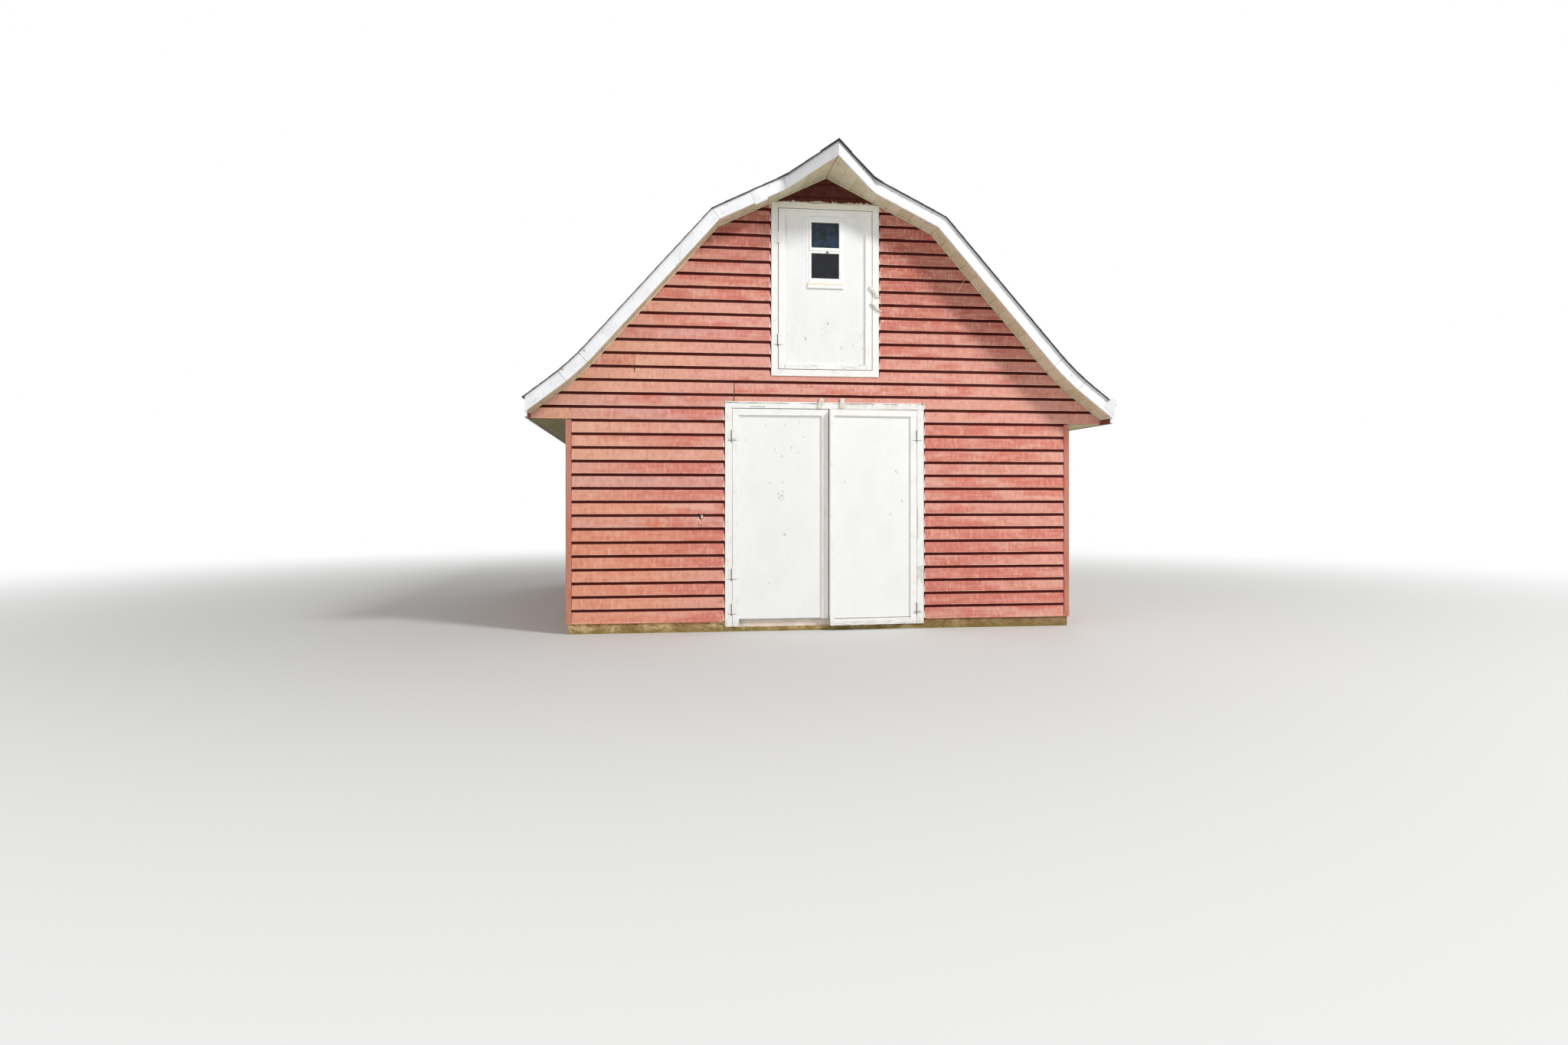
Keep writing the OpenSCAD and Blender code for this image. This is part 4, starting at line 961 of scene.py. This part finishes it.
def loft_casing_boards():
    """Casing round the loft door, ragged along the top; the roof line cuts its upper corners."""
    (x0, x1, z0, z1), y, w, under_roof = LOFT_CASING, (TRIM_Y, CORE_Y), TRIM_W, 0.0105
    upright = z0 + w + JOINT, z1
    parts = [plank((x0, x1), y, (z0, z0 + w), 0), plank((x0, x0 + w), y, upright, 2),
             plank((x1 - w, x1), y, upright, 2),
             plank((x0 + w + JOINT, x1 - w - JOINT), y, (z1 - w, z1), 0, spacing=0.012)]
    x, _, z = parts[3][0].T
    bite = np.clip(0.003 + 0.003 * stir(x, 0.03, 9) + 0.002 * stir(x, 0.012, 10), 0, 0.009)
    z -= np.where(z > z1 - 0.004, bite, 0)
    for points, *_ in parts:
        points[:, 2] = np.minimum(points[:, 2], roof_z(points[:, 0]) - under_roof)
    return parts


def window_frame():
    """Loft window: flat outer boards, an upper sash in front of a lower one, and a small sill."""
    (x0, x1), (face, back), (z0, z1) = span("loft_window")
    w, middle, sill_top, gap = 0.024, 3.646, 3.335, 0.0006
    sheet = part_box("loft_door_panel")[0].y - 0.003
    y, inner = (sheet, back), (x0 + w, x1 - w)
    parts = [plank((x0, x0 + w - gap), y, (z0, z1), 2), plank((x1 - w + gap, x1), y, (z0, z1), 2),
             plank(inner, y, (z1 - w + gap, z1), 0), plank(inner, y, (z0, z0 + w - gap), 0)]
    a, b = inner
    for front, low, high, bottom, top in ((face, middle, z1 - w, 0.030, 0.033),
                                          (face + 0.004, z0 + w, middle, 0.071, 0.024)):
        y, pane = (front, back), (a + w, b - w)
        parts += [plank((a, a + w), y, (low, high), 2), plank((b - w, b), y, (low, high), 2),
                  plank(pane, y, (high - top, high), 0), plank(pane, y, (low, low + bottom), 0)]
    parts.append(plank((x0 + 0.013, x1 - 0.005), (face - 0.006, sheet), (z0, sill_top), 0))
    return parts


def window_catch():
    """A small iron catch on the meeting rail: a base plate and a lever across it."""
    x, y, z = 0.014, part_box("loft_window")[0].y, 3.634
    return [plank((x - 0.012, x + 0.012), (y - 0.002, y + 0.001), (z - 0.004, z + 0.005), 0, 0.0006, bow=0),
            plank((x - 0.004, x + 0.004), (y - 0.005, y - 0.002), (z - 0.012, z + 0.004), 2, 0.0006, bow=0)]


def turn_button(x, z, length, width, tilt, tip):
    """A turn button: a ten-cornered outline carried along it, rounded at both ends, its lower end
    drawn in to tip times its width, turned by tilt degrees in the plane of the wall."""
    front, rear = span("turn_buttons")[1]
    t = np.array([-0.5, -0.47, -0.30, -0.12, 0.0, 0.15, 0.30, 0.47, 0.5])[:, None] * length
    wide = np.array([tip * 0.8, tip, 1.0, 0.97, 1.0, 1.02, 0.98, 1.0, 0.92])[:, None]
    deep = np.array([0.8, 0.95, 1, 0.96, 1, 0.97, 1, 0.95, 0.85])[:, None]
    half, flat = width / 2, width / 2 - 0.003
    u = np.array([-flat, flat, half, half, half, flat, -flat, -half, -half, -half]) * wide
    v = np.array([1, 1, 0.85, 0.5, 0.15, 0, 0, 0.15, 0.5, 0.85]) * (rear - front) * deep
    c, s = math.cos(math.radians(tilt)), math.sin(math.radians(tilt))
    return tubes([np.stack([x + u * c + t * s, rear - v, z - u * s + t * c], -1)])


CASING, LEAF = (casing_paint(), "white_trim"), (leaf_paint(), "white_trim")
CORNER = corner_paint(), "red_corner"
make_piece("corner_board_pairs", corner_posts(), CORNER, "corner_boards")
make_piece("door_casing_boards", door_casing_boards(), CASING, "door_casing")
make_piece("loft_casing_boards", loft_casing_boards(), CASING, "loft_casing")
x, y, z = span("left_door_frame")
left_boards = framed(x, y, z, TRIM_W, TRIM_W, RAIL_W)
left_boards[2][0][:, 2] = np.maximum(left_boards[2][0][:, 2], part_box("left_door_panel")[0].z)
# The right leaf stands a gap away from the left one and ends before its pin; the battens stand
# back from the leaves' free edges
between_leaves, right_edge, stand_back = 0.008, 0.897, 0.003
left_boards.append(edge_batten(x[1] - BATTEN - stand_back, z[1]))
make_piece("left_leaf_boards", left_boards, LEAF, "left_door_frame", "left_door")
right_boards = framed((x[1] + between_leaves, right_edge), y, z, BATTEN, TRIM_W, RAIL_W, RAIL_W)
right_boards.append(edge_batten(x[1] + between_leaves + stand_back, z[1]))
make_piece("right_leaf_boards", [ajar(p) for p in right_boards], LEAF, "right_door_frame", "right_door")
loft_boards = framed(*span("loft_door_frame"), TRIM_W, TRIM_W, TRIM_W, bottom=0.049)
make_piece("loft_leaf_boards", loft_boards, LEAF, "loft_door_frame")
make_piece("loft_window_frame", window_frame(), (LEAF[0], "window_white"), "loft_window")
# Turn buttons: x, z, length, width, tilt in degrees, how far the lower end is drawn in
BUTTONS = [(-0.055, 2.1797, 0.098, 0.040, 20, 0.75), (0.152, 2.1784, 0.098, 0.040, 9, 0.6),
           (0.467, 3.261, 0.138, 0.027, -41.6, 0.95), (0.480, 3.117, 0.116, 0.021, -50.2, 0.5)]
BUTTON = button_finish(), "button_wood"
make_piece("turn_button_bars", [turn_button(*b) for b in BUTTONS], BUTTON, "turn_buttons")


# ---------------------------------------------------------------- soffits and fascias

SOFFIT_RUNS = np.concatenate([np.linspace(0, RUN_KNEE, 10), np.linspace(RUN_KNEE, RUN_TIP, 18)[1:]])


def soffit_boards(y_near, y_far):
    """Narrow boards square to the wall: an outline with eased lower corners between two places
    down the roof line, carried from one y to the other, which may be worked out from x. Both sides."""
    ease, ridge_seam = 0.004, 0.0022
    a, b = SOFFIT_RUNS[:-1, None] + JOINT, SOFFIT_RUNS[1:, None] - JOINT
    a[0], b[-1] = SOFFIT_RUNS[0] + ridge_seam, SOFFIT_RUNS[-1]
    run = np.concatenate([a + ease, b - ease, b, b, a, a], 1)
    x, z = on_roof(run, np.array([0, 0, ease, SOFFIT_T, SOFFIT_T, ease]))
    y = [side(x) if callable(side) else 0 * x + side for side in (y_near, y_far)]
    rings = np.stack([np.stack([x, y_side, z], -1) for y_side in y], 1)
    return [tubes(rings), tubes(rings * [-1, 1, 1])]


def eave_soffit_boards():
    """Three long boards under each eave."""
    _, y, z = span("eave_soffits")
    edges = np.linspace(HALF_W, TIP_X, 4)
    return [plank((side * (a + JOINT), side * (b - JOINT)), y, z, 1, bow=0)
            for side in (-1, 1) for a, b in zip(edges[:-1], edges[1:])]


def rake_wrap(side, run_from, run_to, face, proud=0.0, drop=0.0, slack=0.0006, bulge=0.0):
    """A length of metal-wrapped fascia: an outline across the board, carried down the roof line.
    Face gives y for x and a depth behind the board's face. Proud brings it forward, drop lets it hang
    below the board's lower edge, slack makes its face wavy and bulge swells its middle."""
    rows = np.array([0, 0.02, 0.25, 0.5, 0.75, 0.98, 1])
    eased = np.array([1, 0, 0, 0, 0, 0, 1]) * 0.0015
    bends = [r for r in ROOF_RUN if run_from < r < run_to]
    run = np.unique([*np.arange(run_from, run_to, 0.035), run_from, run_to, *bends])[:, None]
    out = np.concatenate([rows * (FASCIA_H + drop) - drop, [FASCIA_H, -drop]])
    swell = bulge * np.sin(math.pi * (run - run_from) / (run_to - run_from)) * np.sin(math.pi * rows * 0.9)
    seed = new_seed()
    dent = slack * (stir(run, 0.05, seed) * 0.7 + np.sin(rows * 5 + seed % 7) * 0.5
                    + stir(run, 0.13, seed + 1) * 0.5)
    back = np.concatenate([eased - proud + dent - swell, np.full((len(run), 2), FASCIA_T)], 1)
    return down_roof(side, run, out, lambda x: face(x, back))


def front_wraps():
    """The front fascias: hood, upper slope and lower slope in lengths that step at each joint, a
    loose length that hangs on the left and a bent flap at the right tip."""
    parts = []
    for side, joints, knee_gap in ((-1, (2.24, 2.43), 0.0016), (1, (2.20, 2.44), 0.0005)):
        stops = 0, run_at(HOOD_X), RUN_KNEE, *map(run_at, joints), RUN_OUT
        gaps = 0.0007, 0.0005, knee_gap, 0.0016, 0.0016, 0
        for i, proud in enumerate((0.0008, 0, 0.0012, 0, 0.0012)):
            parts.append(rake_wrap(side, stops[i] + gaps[i], stops[i + 1] - gaps[i + 1], front_edge, proud))
    parts.append(rake_wrap(-1, run_at(0.600), run_at(0.712), front_edge,
                           proud=0.004, drop=0.016, slack=0.0012, bulge=0.012))
    flap = np.array([(2.694, -0.0015, 2.167), (2.772, -0.0270, 2.242), (2.811, -0.0270, 2.213),
                     (2.806, -0.0030, 2.057)]) + (0, RAKE_Y, 0)
    return parts + [tubes([[flap, flap - (0, 0.0015, 0)]])]


def back_wraps():
    """The back fascias, in three lengths a side."""
    stops, gap = (0, RUN_KNEE, run_at(1.9), RUN_OUT), 0.0012
    return [rake_wrap(side, stops[i] + gap, stops[i + 1] - gap, lambda x, back: RAKE_BACK - back, proud)
            for side in (-1, 1) for i, proud in enumerate((0, 0.0012, 0))]


def eave_wraps():
    """Eave fascias in three lengths a side: an outline across the board carried along Y."""
    _, y, (foot, _) = span("eave_fascias")
    stops, rows, gap = np.linspace(*y, 4), np.linspace(0, 1, 5), 0.0006
    top_in, top_out = on_roof(np.array([RUN_TIP, RUN_OUT]), FASCIA_H)[1]
    z = np.concatenate([foot + rows * (top_out - foot), [top_in, foot]])
    parts = []
    for side in (-1, 1):
        for k, proud in enumerate((0.0012, 0, 0.0012)):
            y = np.linspace(stops[k] + gap, stops[k + 1] - gap, 40)[:, None]
            dent = 0.0006 * (stir(y, 0.09, 2 * k + side + 1) + np.sin(rows * 4))
            x = np.concatenate([EAVE_OUT + proud - 0.001 + dent, np.full((len(y), 2), TIP_X)], 1)
            parts.append(tubes([np.stack(np.broadcast_arrays(side * x, y, z), -1)]))
    return parts


def soffit_moulding():
    """A thin strip where the siding meets the soffit, carried down the roof line on both gables."""
    run, out = ROOF_RUN[:10, None], np.array([-0.001, -0.008, -0.009, -0.009, 0])
    deep = np.array([0.0225, 0.0225, 0.0205, 0.012, 0.012])
    return [down_roof(side, run, out, y) for y in (CORE_Y - deep, BACK_Y + deep) for side in (-1, 1)]


def eave_returns():
    """Short boards that close the eaves' front ends."""
    low, thick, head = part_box("eave_fascias")[0], 0.005, 2.046
    return [plank((side * TIP_X, side * (TIP_X - thick)), (low.y, CORE_Y - BUTT - CASING_GAP),
                  (low.z + 0.004, head), 1, bow=0) for side in (-1, 1)]


CREAM, WRAP = (soffit_paint(), "soffit_cream"), (metal_wrap(), "fascia_white")
make_piece("soffit_mouldings", soffit_moulding(), CREAM, "soffit_strips")
behind_hood, behind_rake = (lambda x: front_edge(x, FASCIA_T)), RAKE_BACK - FASCIA_T
make_piece("front_soffit_boards", soffit_boards(behind_hood, CORE_Y), CREAM, "rake_soffit_front")
make_piece("back_soffit_boards", soffit_boards(BACK_Y, behind_rake), CREAM, "rake_soffit_back")
make_piece("eave_soffit_boards", eave_soffit_boards(), CREAM, "eave_soffits")
make_piece("front_fascia_wraps", front_wraps(), WRAP, "rake_fascia_front")
make_piece("eave_return_boards", eave_returns(), CORNER)
make_piece("back_fascia_wraps", back_wraps(), WRAP, "rake_fascia_back")
make_piece("eave_fascia_wraps", eave_wraps(), WRAP, "eave_fascias")


# ---------------------------------------------------------------- shingles

EXPOSURE, TAB, TAB_GAP, FELT = 0.127, 0.305, 0.005, 0.002
# A tab's thickness at its lower and at its upper edge, and how far the caps lie over the felt
TAB_THICK, TAB_THIN, CAP_LIFT = 0.0052, 0.0028, 0.0064
UNDER_TABS, BACK_EDGE = FASCIA_H + FELT, RAKE_BACK + DRIP


def shingle_half(side):
    """Shingles of one half: a thin felt under rows of tabs. A tab is a wedge, thick at its lower
    edge, cut at the roof's front and back edges; each row is moved half a tab on the last."""
    runs = np.unique([*ROOF_RUN, run_at(HOOD_X)])[:, None]
    felt = down_roof(side, runs, np.array([FASCIA_H, FASCIA_H, UNDER_TABS, UNDER_TABS]), lambda x: np.where(
        [True, False, False, True], front_edge(x, -DRIP), BACK_EDGE), tone=0.2)
    rows, low = np.arange(RUN_END, 0.08, -EXPOSURE), HOOD_Y - 0.05
    columns = np.arange(math.ceil((BACK_EDGE - low) / TAB) + 2)
    row, column = (g.ravel() for g in np.meshgrid(np.arange(len(rows)), columns, indexing="ij"))
    start = (low - TAB + column * TAB + (row % 2) * TAB / 2 + (row * 0.37 % 1 - 0.5) * 0.02)[:, None]
    lower = rows[row] + chance.uniform(-0.002, 0.002, len(row)) * (row > 0)
    upper = np.maximum(rows[row] - EXPOSURE, 0)
    thick = TAB_THICK + chance.uniform(-0.0006, 0.0008, len(row))
    out = UNDER_TABS + np.stack([0 * thick, thick, 0 * thick + TAB_THIN, 0 * thick], -1)
    x, z = on_roof(np.stack([lower, lower, upper, upper], -1), out)
    edge = front_edge(x, -DRIP)
    near, far = np.clip(start, edge, BACK_EDGE), np.clip(start + TAB - TAB_GAP, edge, BACK_EDGE)
    kept = ((far - near).min(1) > 0.002) | ((far - near).max(1) > 0.03)
    rings = np.stack([np.stack([side * x, y, z], -1) for y in (near, np.maximum(far, near + 1e-4))], 1)
    return [felt, tubes(rings[kept])]


def ridge_caps():
    """Caps folded over the ridge: each is a strip across the ridge, thick at its front edge."""
    count = math.ceil((BACK_EDGE - HOOD_Y + DRIP) / EXPOSURE)
    start = HOOD_Y - DRIP * HOOD_SLANT / HOOD_X + np.arange(count) * EXPOSURE
    end = np.minimum(start + EXPOSURE, BACK_EDGE)
    across = np.array([-0.15, -0.012, 0, 0.012, 0.15])[:, None]
    base = UNDER_TABS + CAP_LIFT
    x, z = on_roof(np.abs(across), np.array([base, SHINGLE_HEAD - 0.0003, base + 0.0012, base]))
    x = x * np.sign(across)
    y = np.clip(np.stack([start, start, end, end], -1)[:, None], front_edge(x, -DRIP), BACK_EDGE)
    return [tubes(np.stack(np.broadcast_arrays(x, y, z), -1))]


CHARCOAL = asphalt(), "shingle"
for label, side in (("left", -1), ("right", 1)):
    make_piece(label + "_shingle_courses", shingle_half(side), CHARCOAL, "shingles_" + label)
make_piece("ridge_cap_shingles", ridge_caps(), CHARCOAL)


# ---------------------------------------------------------------- nails, screws and loft hinges

def small_heads(places):
    """Small nail or screw heads that face the front."""
    return studs(places, (0, -1, 0), 0.0035, 0.0012)


def roof_nails():
    """Dark nail heads: one a soffit board beside the wall, a row near the upper edge of the front
    fascias and a few about their joints and tips."""
    middle, beside = SOFFIT_RUNS[:-1] + 0.009, BUTT + 0.024
    (x, z), (out_x, out_z) = on_roof(middle, 0.0), on_roof(middle, 0.01)
    facing = -np.stack([out_x - x, 0 * x, out_z - z], -1) / 0.01
    parts = [studs(np.stack([side * x, 0 * x + y, z], -1), facing * [side, 1, 1], 0.0060, 0.0020)
             for side in (-1, 1) for y in (CORE_Y - beside, BACK_Y + beside)]
    spots = [(side * run, 0.085) for side in (-1, 1) for run in np.arange(0.62, 3.0, 0.41)]
    spots += [(run_at(x), out) for x, out in ((2.20, 0.07), (2.33, 0.06), (2.72, 0.05))]
    places = [(np.sign(run) * on_roof(abs(run), out)[0], on_roof(abs(run), out)[1]) for run, out in spots]
    places += [(-2.627, 2.207), (-2.678, 2.165), (-2.696, 2.157), (-2.709, 2.140), (2.754, 2.141)]
    return parts + [small_heads([(x, front_edge(x, 0.0) - 0.0012, z) for x, z in places])]


def hinge_screws(axis_x, heights, side):
    """Three screw heads on one plate of each butt hinge, on one side of its pin."""
    face = RIGHT_PIN[1] + 0.0045
    places = [(axis_x + side * across, face, z + up) for z in heights
              for up, across in ((-0.038, 0.026), (0, 0.018), (0.038, 0.026))]
    return studs(places, (0, -1, 0), 0.0042, 0.0012)


def butt_hinge(axis_x, middle):
    """A painted butt hinge: two plates 34 mm wide on the trim, and a barrel of five knuckles, each a
    short cylinder whose ends are eased, on the pin's line before them."""
    radius, half, turns = 0.006, 0.051, np.linspace(0, math.tau, 17)[:-1]
    knuckle, ease = half * 0.4, 0.0010
    plates = [plank((axis_x + a, axis_x + b), (TRIM_Y - 0.0025, TRIM_Y), (middle - half, middle + half),
                    2, 0.0006, bow=0) for a, b in ((-0.034, -0.0006), (0.0006, 0.034))]
    within = np.array([JOINT, ease, knuckle - ease, knuckle - JOINT])[:, None]
    z = middle - half + np.arange(5)[:, None, None] * knuckle + within
    wide = radius * np.array([0.9, 1, 1, 0.9])[:, None]
    x, y = axis_x + wide * np.cos(turns), RIGHT_PIN[1] + wide * np.sin(turns)
    return [*plates, tubes(np.stack(np.broadcast_arrays(x, y, z), -1))]


IRON, PAINTED = (dark_iron(), "hinge_metal"), (hinge_paint(), "hinge_metal")
left_pin, right_pin, loft_pin = HINGE_AXES
loft_pair = [part for z in LOFT_HINGES for part in butt_hinge(loft_pin, z)]
make_piece("loft_hinge_pairs", loft_pair, PAINTED, "loft_hinges")
make_piece("roof_nails", roof_nails(), IRON)
fixed = [hinge_screws(left_pin, LEFT_HINGES, -1), hinge_screws(right_pin, RIGHT_HINGES, 1),
         hinge_screws(loft_pin, LOFT_HINGES, -1), hinge_screws(loft_pin, LOFT_HINGES, 1)]
make_piece("fixed_hinge_screws", fixed, PAINTED)
make_piece("left_leaf_screws", [hinge_screws(left_pin, LEFT_HINGES, 1)], PAINTED, body="left_door")
make_piece("right_leaf_screws", [ajar(hinge_screws(right_pin, RIGHT_HINGES, -1))], PAINTED, body="right_door")
make_piece("window_catch", window_catch(), IRON)
button_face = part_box("turn_buttons")[0].y
make_piece("button_screws", [small_heads([(x, button_face, z) for x, z, *_ in BUTTONS])], IRON)


# ---------------------------------------------------------------- finishes of the CAD nodes

# Chipped dots on the sheets: x, z, half width, half height
LEFT_DOTS = [(-0.461, 1.313, 0.011, 0.010), (-0.425, 1.294, 0.009, 0.014), (-0.457, 1.270, 0.012, 0.009),
             (-0.415, 1.330, 0.008, 0.009), (-0.412, 1.257, 0.008, 0.007), (-0.441, 1.247, 0.009, 0.006),
             (-0.438, 1.286, 0.034, 0.016), (-0.482, 1.700, 0.007, 0.008), (-0.495, 1.732, 0.010, 0.010),
             (-0.428, 1.669, 0.009, 0.016), (-0.336, 1.750, 0.009, 0.010), (-0.265, 1.706, 0.009, 0.010),
             (-0.583, 1.963, 0.008, 0.008), (-0.399, 1.969, 0.007, 0.008), (-0.255, 1.990, 0.008, 0.008),
             (-0.218, 1.854, 0.009, 0.010), (-0.774, 1.820, 0.007, 0.009), (-0.541, 1.412, 0.008, 0.009),
             (-0.424, 1.419, 0.008, 0.010), (-0.400, 0.920, 0.018, 0.012), (-0.550, 0.450, 0.008, 0.008)]
RIGHT_DOTS = [(0.687, 1.533, 0.010, 0.014), (0.699, 1.512, 0.008, 0.009), (0.749, 1.243, 0.009, 0.014),
              (0.632, 1.110, 0.010, 0.009), (0.179, 1.420, 0.009, 0.011)]
LOFT_DOTS = [(0.02, 2.95, 0.010, 0.02), (-0.20, 2.80, 0.008, 0.03), (0.15, 2.72, 0.006, 0.02)]
along_x, along_y = (sawn_timber("timber_along_" + axis, size) for axis, size in (
    ("x", (0.25, 0.006, 0.006)), ("y", (0.006, 0.25, 0.006))))
NODE_FINISHES = {
    old_concrete(): ["foundation"], threshold_wood(): ["door_threshold"], window_glass(): ["loft_glass"],
    sheet_paint("left_sheet_paint", LEFT_DOTS): ["left_door_panel"],
    sheet_paint("right_sheet_paint", RIGHT_DOTS): ["right_door_panel"],
    sheet_paint("loft_sheet_paint", LOFT_DOTS, True): ["loft_door_panel"],
    wall_timber(): ["left_wall", "right_wall", "front_wall_left", "front_wall_right", "front_wall_band",
                    "front_gable_left", "front_gable_right", "front_gable_peak", "back_wall", "back_gable"],
    along_x: ["loft_joists", "rafters_upper", "rafters_lower", "left_door_battens", "right_door_battens"],
    along_y: ["loft_floor", "ridge_board", "roof_deck_left", "roof_deck_right"],
    PAINTED[0]: ["door_hinge_plates", "left_door_hinges", "right_door_hinges"],
}
for finish, names in NODE_FINISHES.items():
    for name in names:
        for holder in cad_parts[name].material_slots:
            holder.material = finish


# ---------------------------------------------------------------- camera, light and floor

def stand(name, data, place, turn):
    """Puts a camera or a lamp in the scene."""
    holder = bpy.data.objects.new(name, data)
    holder.location, holder.rotation_euler = place, turn
    bpy.context.collection.objects.link(holder)
    return holder


def set_camera():
    """A level camera, turned to the right, with the picture shifted so the horizon sits right."""
    camera = bpy.data.cameras.new("photo_camera")
    camera.sensor_width = SENSOR_WIDTH
    camera.lens = FOCAL_PIXELS * SENSOR_WIDTH / PICTURE_WIDTH
    camera.shift_y = HORIZON_SHIFT
    bpy.context.scene.camera = stand("photo_camera", camera, CAMERA_PLACE, (math.pi / 2, 0, -CAMERA_TURN))


def area_lamp(name, place, target, size, power):
    """A square area lamp at place that shines at target."""
    lamp = bpy.data.lights.new(name, "AREA")
    lamp.size, lamp.energy = size, power
    stand(name, lamp, place, (Vector(target) - Vector(place)).to_track_quat("-Z", "Y").to_euler())


def studio_world(fill):
    """Plain white surroundings: full strength where they are looked at, strength fill as light."""
    around = Nodes(bpy.data.worlds.new("studio"))
    bpy.context.scene.world = around.owner
    strength = around.node("MapRange", {}, {"Value": around.looked_at(), "To Min": fill})
    around.close(around.node("Background", {}, {"Color": (1, 1, 1, 1), "Strength": strength}), "OutputWorld")


def lay_floor():
    """A plain pale floor that the camera sees turn white further out, like the background."""
    bpy.ops.mesh.primitive_plane_add(size=200)
    floor = bpy.context.object
    floor.name = "floor"
    f = Finish("pale_floor")
    white = f.length(f.place).fade(4.5, 15) * f.looked_at()
    matte = f.node("BsdfPrincipled", {}, {"Base Color": linear((206, 206, 204)), "Roughness": 0.9})
    glow = f.node("Emission", {}, {"Color": (1, 1, 1, 1), "Strength": 1.0})
    floor.data.materials.append(f.close(f.node("MixShader", {}, {0: white, 1: matte, 2: glow})))


set_camera()
area_lamp("key_lamp", (10.5, -13.5, 15), (0, -1, 2), 3.4, 2900)
area_lamp("fill_lamp", (-12, -13, 6), (0, -1, 2), 9, 500)
area_lamp("back_lamp", (6, 15, 9), (0, 1, 2), 9, 650)
studio_world(0.42)
bpy.context.scene.view_settings.view_transform = "Standard"
lay_floor()
